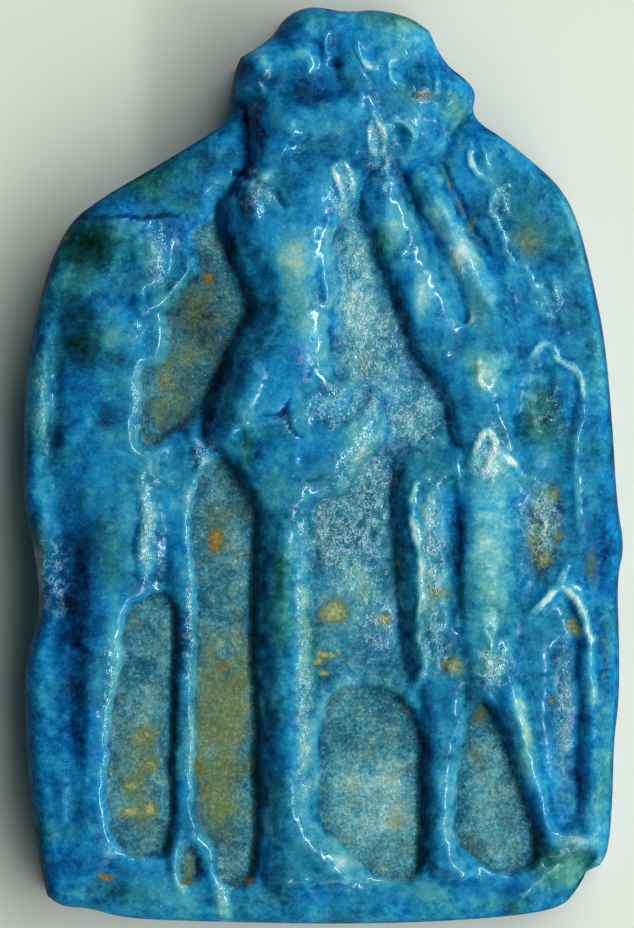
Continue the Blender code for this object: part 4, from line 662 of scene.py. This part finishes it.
def makePlaque(form):
    low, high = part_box("plaque")
    bpy.ops.object.select_all(action="DESELECT")
    bpy.ops.mesh.primitive_grid_add(x_subdivisions=form["cellsAcross"], y_subdivisions=form["cellsAlong"], size=1.0)
    piece = bpy.context.object
    piece.name = "glazedPlaque"
    x, y = faceGrid(form)
    fromRim = distanceToRim(x, y)
    height, grit, crust, crest = carvedFace(form, x, y, fromRim)
    print("carved face: lowest", round(height.min() / mm, 2), "highest", round(height.max() / mm, 2), "mm")
    places = np.stack([stretched(x, low.x, high.x), stretched(y, low.y, high.y), height], axis=-1)
    piece.data.vertices.foreach_set("co", places.astype(np.float32).ravel())
    for name, values in glazeMasks(x, y, height, grit, crust, crest, fromRim).items():
        saveMask(piece.data, name, values)
    piece.data.update()
    addWallsAndBack(piece, form)
    calmWalls(piece, form, x.size)
    return piece


def calmWalls(piece, form, facePoints):
    # Below the rim the glaze loses the patches of the face and keeps one tone
    places = np.empty(len(piece.data.vertices) * 3, dtype=np.float32)
    piece.data.vertices.foreach_get("co", places)
    share = 1.0 - ramp(form["slabThickness"] - form["patchesEnd"], form["slabThickness"] - form["rimDrop"], places[2::3])
    share[:facePoints] = 0.0
    for name, plain in wallTones.items():
        values = np.empty(share.size, dtype=np.float32)
        piece.data.attributes[name].data.foreach_get("value", values)
        saved = values * (1.0 - share) + plain * share
        piece.data.attributes[name].data.foreach_set("value", saved.astype(np.float32))


def addWallsAndBack(piece, form):
    # The rim is drawn down in rows to the back, which is drawn in a little and closed flat
    bpy.ops.object.mode_set(mode="EDIT")
    bpy.ops.mesh.select_mode(type="EDGE")
    bpy.ops.mesh.select_all(action="DESELECT")
    bpy.ops.mesh.select_non_manifold(extend=False, use_boundary=True)
    topLevel = form["slabThickness"] - form["rimDrop"]
    rows = form["wallRows"]
    levels = [topLevel + (form["backBevelHeight"] - topLevel) * row / rows for row in range(1, rows + 1)]
    for level in levels:
        bpy.ops.mesh.extrude_edges_move()
        bpy.ops.transform.resize(value=(1.0, 1.0, 0.0), center_override=(0.0, 0.0, level))
    for step in range(1, 4):
        turn = math.radians(30 * step)
        level = form["backBevelHeight"] * (1.0 - math.sin(turn))
        drawnIn = form["backBevelWidth"] * (math.cos(math.radians(30 * (step - 1))) - math.cos(turn))
        width = cadBox[1].x - cadBox[0].x
        length = cadBox[1].y - cadBox[0].y
        bpy.ops.mesh.extrude_edges_move()
        bpy.ops.transform.resize(value=(1.0 - 2.0 * drawnIn / width, 1.0 - 2.0 * drawnIn / length, 0.0),
                                 center_override=(0.0, 0.0, level))
    bpy.ops.mesh.edge_face_add()
    bpy.ops.mesh.select_all(action="SELECT")
    bpy.ops.mesh.normals_make_consistent(inside=False)
    bpy.ops.object.mode_set(mode="OBJECT")
    bpy.ops.object.shade_smooth_by_angle(angle=math.radians(60))


def fromDisplay(red, green, blue):
    # A colour as it is seen on a display, from 0 to 255, as the renderer takes it
    shares = [part / 255.0 for part in (red, green, blue)]
    return tuple(share / 12.92 if share < 0.04045 else ((share + 0.055) / 1.055) ** 2.4 for share in shares) + (1.0,)


glaze = {
    "blueTones": {0.0: (0, 18, 48), 0.16: (0, 56, 106), 0.34: (4, 100, 160), 0.5: (20, 138, 194), 0.65: (58, 166, 202),
                  0.8: (112, 194, 210), 1.0: (204, 234, 236)},
    "greenTones": {0.0: (4, 30, 28), 0.3: (12, 78, 80), 0.5: (42, 128, 126), 0.75: (104, 176, 162), 1.0: (190, 216, 194)},
    "gritTones": {0.0: (6, 42, 62), 0.34: (34, 100, 124), 0.55: (78, 148, 160), 0.8: (142, 192, 190), 1.0: (226, 238, 228)},
    "ochreTones": {0.0: (38, 68, 58), 0.5: (106, 130, 90), 1.0: (204, 202, 140)},
    "rustTones": {0.0: (48, 42, 20), 0.5: (114, 102, 46), 1.0: (186, 160, 90)},
    "gloss": 0.07,
    "shine": 1.1,
    "grain": 0.035 * mm,
    "dimple": 0.012 * mm,
    "crumbs": 0.12 * mm,
    "loops": 0.06 * mm,
    "loopColour": (176, 218, 236),
}


maskNames = ("tone", "green", "ochre", "rust", "grit", "dull", "crust")


def newNode(tree, kind, place, **settings):
    node = tree.nodes.new(kind)
    node.location = place
    for name, value in settings.items():
        setattr(node, name, value)
    return node


def noiseNode(tree, place, coordinates, size, detail=3.0, roughness=0.6):
    node = newNode(tree, "ShaderNodeTexNoise", place)
    node.inputs["Scale"].default_value = 1.0 / size
    node.inputs["Detail"].default_value = detail
    node.inputs["Roughness"].default_value = roughness
    tree.links.new(coordinates, node.inputs["Vector"])
    return node.outputs["Fac"]


def mathNode(tree, place, operation, first, second, third=None, clamped=False):
    node = newNode(tree, "ShaderNodeMath", place, operation=operation, use_clamp=clamped)
    for socket, value in zip(node.inputs, (first, second, third)):
        if isinstance(value, (int, float)):
            socket.default_value = value
        elif value is not None:
            tree.links.new(value, socket)
    return node.outputs[0]


def rampNode(tree, place, tones, factor):
    node = newNode(tree, "ShaderNodeValToRGB", place)
    stops = node.color_ramp.elements
    places = sorted(tones)
    stops[0].position = places[0]
    stops[1].position = places[-1]
    for position in places[1:-1]:
        stops.new(position)
    for stop, position in zip(stops, places):
        stop.color = fromDisplay(*tones[position])
    tree.links.new(factor, node.inputs["Fac"])
    return node.outputs["Color"]


def mixNode(tree, place, factor, first, second):
    node = newNode(tree, "ShaderNodeMix", place, data_type="RGBA")
    tree.links.new(factor, node.inputs["Factor"])
    tree.links.new(first, node.inputs["A"])
    tree.links.new(second, node.inputs["B"])
    return node.outputs["Result"]


def glazeGroup(glaze):
    # Colour, gloss and unevenness of old glaze from the masks carried by the piece
    group = bpy.data.node_groups.new("oldGlaze", "ShaderNodeTree")
    for name in maskNames:
        group.interface.new_socket(name, in_out="INPUT", socket_type="NodeSocketFloat")
    group.interface.new_socket("place", in_out="INPUT", socket_type="NodeSocketVector")
    group.interface.new_socket("colour", in_out="OUTPUT", socket_type="NodeSocketColor")
    for name in ("roughness", "sheen", "height"):
        group.interface.new_socket(name, in_out="OUTPUT", socket_type="NodeSocketFloat")
    given = newNode(group, "NodeGroupInput", (-1600, 0)).outputs
    place = given["place"]
    clouds = noiseNode(group, (-1300, 500), place, 1.5 * mm)
    mottle = noiseNode(group, (-1300, 300), place, 0.42 * mm)
    grain = noiseNode(group, (-1300, 100), place, 0.16 * mm, detail=2.0, roughness=0.75)
    fleck = noiseNode(group, (-1300, -100), place, 0.11 * mm, detail=1.0)
    dimple = noiseNode(group, (-1300, -300), place, 0.7 * mm, detail=1.0)
    # Thin loops of glaze on crusted patches, along the middle values of a noise
    loops = noiseNode(group, (-1700, -100), place, 0.8 * mm, detail=3.0)
    offLoop = mathNode(group, (-1500, -100), "ADD", loops, -0.5)
    awayLoop = mathNode(group, (-1400, -100), "ABSOLUTE", offLoop, 0.0)
    loopLine = mathNode(group, (-1300, -100), "MULTIPLY_ADD", awayLoop, -20.0, 1.0, clamped=True)
    loopParts = mathNode(group, (-1300, 0), "MULTIPLY_ADD", mottle, 5.0, -1.9, clamped=True)
    loopKept = mathNode(group, (-1250, -50), "MULTIPLY", loopLine, loopParts)
    loopCrust = mathNode(group, (-1200, -100), "MULTIPLY", loopKept, given["crust"])
    # Tone of the glaze with clouds, mottling and pale flecks
    cloudy = mathNode(group, (-1050, 500), "MULTIPLY_ADD", clouds, 0.7, -0.35)
    mottled = mathNode(group, (-1050, 300), "MULTIPLY_ADD", mottle, 0.5, -0.25)
    uneven = mathNode(group, (-850, 400), "ADD", cloudy, mottled)
    fleckBase = mathNode(group, (-1250, -250), "MULTIPLY_ADD", given["crust"], 0.45, -4.08)
    fleckLimit = mathNode(group, (-1050, -200), "MULTIPLY_ADD", given["grit"], 0.25, fleckBase)
    flecked = mathNode(group, (-850, -100), "MULTIPLY_ADD", fleck, 6.0, fleckLimit, clamped=True)
    fine = mathNode(group, (-850, 200), "MULTIPLY_ADD", grain, 0.34, -0.17)
    finer = mathNode(group, (-750, 300), "ADD", uneven, fine)
    tone = mathNode(group, (-650, 400), "ADD", given["tone"], finer)
    paleTone = mathNode(group, (-450, 400), "MULTIPLY_ADD", flecked, 0.4, tone)
    blue = rampNode(group, (-200, 500), glaze["blueTones"], paleTone)
    green = rampNode(group, (-200, 250), glaze["greenTones"], paleTone)
    greenCloud = noiseNode(group, (-1300, 700), place, 2.3 * mm)
    greenEdge = mathNode(group, (-650, 200), "MULTIPLY_ADD", greenCloud, 1.8, -0.82)
    greenKept = mathNode(group, (-450, 200), "MULTIPLY_ADD", given["green"], 1.1, greenEdge, clamped=True)
    glazed = mixNode(group, (100, 400), greenKept, blue, green)
    # Gritty floors
    grainy = mathNode(group, (-1050, 100), "MULTIPLY_ADD", grain, 2.0, -1.0)
    gritTone = mathNode(group, (-650, 0), "MULTIPLY_ADD", grainy, 0.2, paleTone)
    coolGrit = rampNode(group, (-200, 0), glaze["gritTones"], gritTone)
    warmGrit = rampNode(group, (-200, -60), glaze["ochreTones"], gritTone)
    warmCloud = noiseNode(group, (-1300, -500), place, 0.9 * mm, detail=5.0, roughness=0.75)
    warmEdge = mathNode(group, (-850, -60), "MULTIPLY_ADD", given["ochre"], 1.5, -1.25)
    warmShare = mathNode(group, (-650, -60), "MULTIPLY_ADD", warmCloud, 2.6, warmEdge, clamped=True)
    gritColour = mixNode(group, (0, 0), warmShare, coolGrit, warmGrit)
    gritEdge = mathNode(group, (-650, -150), "MULTIPLY_ADD", mottle, 1.6, -0.8)
    gritShare = mathNode(group, (-450, -150), "MULTIPLY_ADD", given["grit"], 1.6, gritEdge)
    gritKept = mathNode(group, (-250, -150), "MULTIPLY", gritShare, given["grit"], clamped=True)
    gritted = mixNode(group, (300, 300), gritKept, glazed, gritColour)
    # Stains
    stains = gritted
    for row, name in enumerate(("ochre", "rust")):
        edge = mathNode(group, (-650, -350 - 300 * row), "MULTIPLY_ADD", mottle, 3.4, -2.1)
        share = mathNode(group, (-450, -350 - 300 * row), "MULTIPLY_ADD", given[name], 2.0, edge)
        kept = mathNode(group, (-250, -350 - 300 * row), "MULTIPLY", share, given[name], clamped=True)
        strength = mathNode(group, (-850, -450 - 300 * row), "MULTIPLY_ADD", given[name], 0.4, 0.18)
        stainTone = mathNode(group, (-650, -450 - 300 * row), "MULTIPLY_ADD", grainy, 0.5, strength)
        stainColour = rampNode(group, (-200, -450 - 300 * row), glaze[name + "Tones"], stainTone)
        stains = mixNode(group, (500 + 200 * row, 200), kept, stains, stainColour)
    loopShare = mathNode(group, (700, 0), "MULTIPLY", loopCrust, 0.8)
    coated = newNode(group, "ShaderNodeMix", (900, 200), data_type="RGBA")
    coated.inputs["B"].default_value = fromDisplay(*glaze["loopColour"])
    group.links.new(loopShare, coated.inputs["Factor"])
    group.links.new(stains, coated.inputs["A"])
    # Gloss and unevenness
    patchy = mathNode(group, (100, -450), "MULTIPLY_ADD", mottle, 4.0, -1.3, clamped=True)
    shine = mathNode(group, (300, -450), "MULTIPLY_ADD", gritKept, -0.9, patchy, clamped=True)
    glossy = mathNode(group, (400, -450), "SUBTRACT", shine, given["dull"], clamped=True)
    keptShine = mathNode(group, (500, -450), "MULTIPLY_ADD", given["crust"], 0.7, glossy, clamped=True)
    roughness = mathNode(group, (700, -300), "MULTIPLY_ADD", keptShine, glaze["gloss"] - 0.55, 0.55)
    sheen = mathNode(group, (700, -450), "MULTIPLY_ADD", keptShine, glaze["shine"], 0.05)
    grainHeight = mathNode(group, (300, -600), "MULTIPLY", grain, gritKept)
    dimpled = mathNode(group, (300, -750), "MULTIPLY", dimple, glaze["dimple"] / glaze["grain"])
    crumbs = noiseNode(group, (-1300, -700), place, 0.26 * mm, detail=2.0, roughness=0.7)
    crusted = mathNode(group, (300, -900), "MULTIPLY", crumbs, given["crust"])
    smoothHeight = mathNode(group, (500, -600), "ADD", grainHeight, dimpled)
    looped = mathNode(group, (600, -700), "MULTIPLY_ADD", loopCrust, glaze["loops"] / glaze["grain"], smoothHeight)
    height = mathNode(group, (700, -600), "MULTIPLY_ADD", crusted, glaze["crumbs"] / glaze["grain"], looped)
    made = newNode(group, "NodeGroupOutput", (1000, 0)).inputs
    for name, value in (("colour", coated.outputs["Result"]), ("roughness", roughness), ("sheen", sheen), ("height", height)):
        group.links.new(value, made[name])
    return group


def glazeMaterial(glaze):
    material = bpy.data.materials.new("turquoiseGlaze")
    material.use_nodes = True
    tree = material.node_tree
    shader = tree.nodes["Principled BSDF"]
    effect = newNode(tree, "ShaderNodeGroup", (-500, 0), node_tree=glazeGroup(glaze))
    for row, name in enumerate(maskNames):
        mask = newNode(tree, "ShaderNodeAttribute", (-800, 400 - 200 * row), attribute_name=name)
        tree.links.new(mask.outputs["Fac"], effect.inputs[name])
    place = newNode(tree, "ShaderNodeTexCoord", (-800, -600))
    tree.links.new(place.outputs["Object"], effect.inputs["place"])
    bump = newNode(tree, "ShaderNodeBump", (-250, -300))
    bump.inputs["Distance"].default_value = glaze["grain"]
    bump.inputs["Strength"].default_value = 1.0
    tree.links.new(effect.outputs["height"], bump.inputs["Height"])
    tree.links.new(bump.outputs["Normal"], shader.inputs["Normal"])
    tree.links.new(effect.outputs["colour"], shader.inputs["Base Color"])
    tree.links.new(effect.outputs["roughness"], shader.inputs["Roughness"])
    tree.links.new(effect.outputs["sheen"], shader.inputs["Specular IOR Level"])
    shader.inputs["Specular Tint"].default_value = (0.74, 0.97, 1.0, 1.0)
    return material


def makeStage():
    bpy.ops.mesh.primitive_plane_add(size=6.0, location=(0.0, 0.0, 0.0))
    floor = bpy.context.object
    floor.name = "paleFloor"
    material = bpy.data.materials.new("paleFloor")
    material.use_nodes = True
    shader = material.node_tree.nodes["Principled BSDF"]
    shader.inputs["Base Color"].default_value = (0.80, 0.82, 0.72, 1.0)
    shader.inputs["Roughness"].default_value = 0.9
    floor.data.materials.append(material)


# Long lamps on the right: height in degrees above the floor, width and watts
lamps = {
    "narrowLamp": (54, 0.04, 5.6),
    "wideLamp": (68, 0.24, 3.4),
}

room = {
    "lampDistance": 0.42,
    "lampLength": 3.2,
    "fill": 0.042,
}


def makeLights(lamps, room):
    for name, (height, width, watts) in lamps.items():
        turn = math.radians(height)
        away = (room["lampDistance"] * math.cos(turn), 0.0, room["lampDistance"] * math.sin(turn))
        bpy.ops.object.light_add(type="AREA", location=away)
        light = bpy.context.object
        light.name = name
        light.data.shape = "RECTANGLE"
        light.data.size = width
        light.data.size_y = room["lampLength"]
        light.data.energy = watts
        light.visible_glossy = width < 0.1
        light.rotation_euler = (0.0, math.pi / 2 - turn, 0.0)
    world = bpy.data.worlds.new("softRoom")
    world.use_nodes = True
    world.node_tree.nodes["Background"].inputs["Color"].default_value = (0.56, 0.94, 1.0, 1.0)
    world.node_tree.nodes["Background"].inputs["Strength"].default_value = room["fill"]
    bpy.context.scene.world = world
    bpy.context.scene.view_settings.view_transform = "Standard"


photoView = {
    "viewHeight": 0.04255,      # what the frame covers from foot to top
    "centre": (-0.000275, 0.00009),
    "distance": 0.9,
}


def makeCamera(photoView):
    bpy.ops.object.camera_add(location=(photoView["centre"][0], photoView["centre"][1], photoView["distance"]))
    camera = bpy.context.object
    camera.name = "camera"
    camera.data.sensor_width = 36.0
    camera.data.lens = camera.data.sensor_width * (photoView["distance"] - 0.005) / photoView["viewHeight"]
    camera.data.clip_start = 0.01
    bpy.context.scene.camera = camera


plaque = makePlaque(plaqueForm)
plaque.data.materials.append(glazeMaterial(glaze))
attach(plaque, "root")
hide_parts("plaque")
print("plaque:", len(plaque.data.polygons), "faces")
makeStage()
makeLights(lamps, room)
makeCamera(photoView)
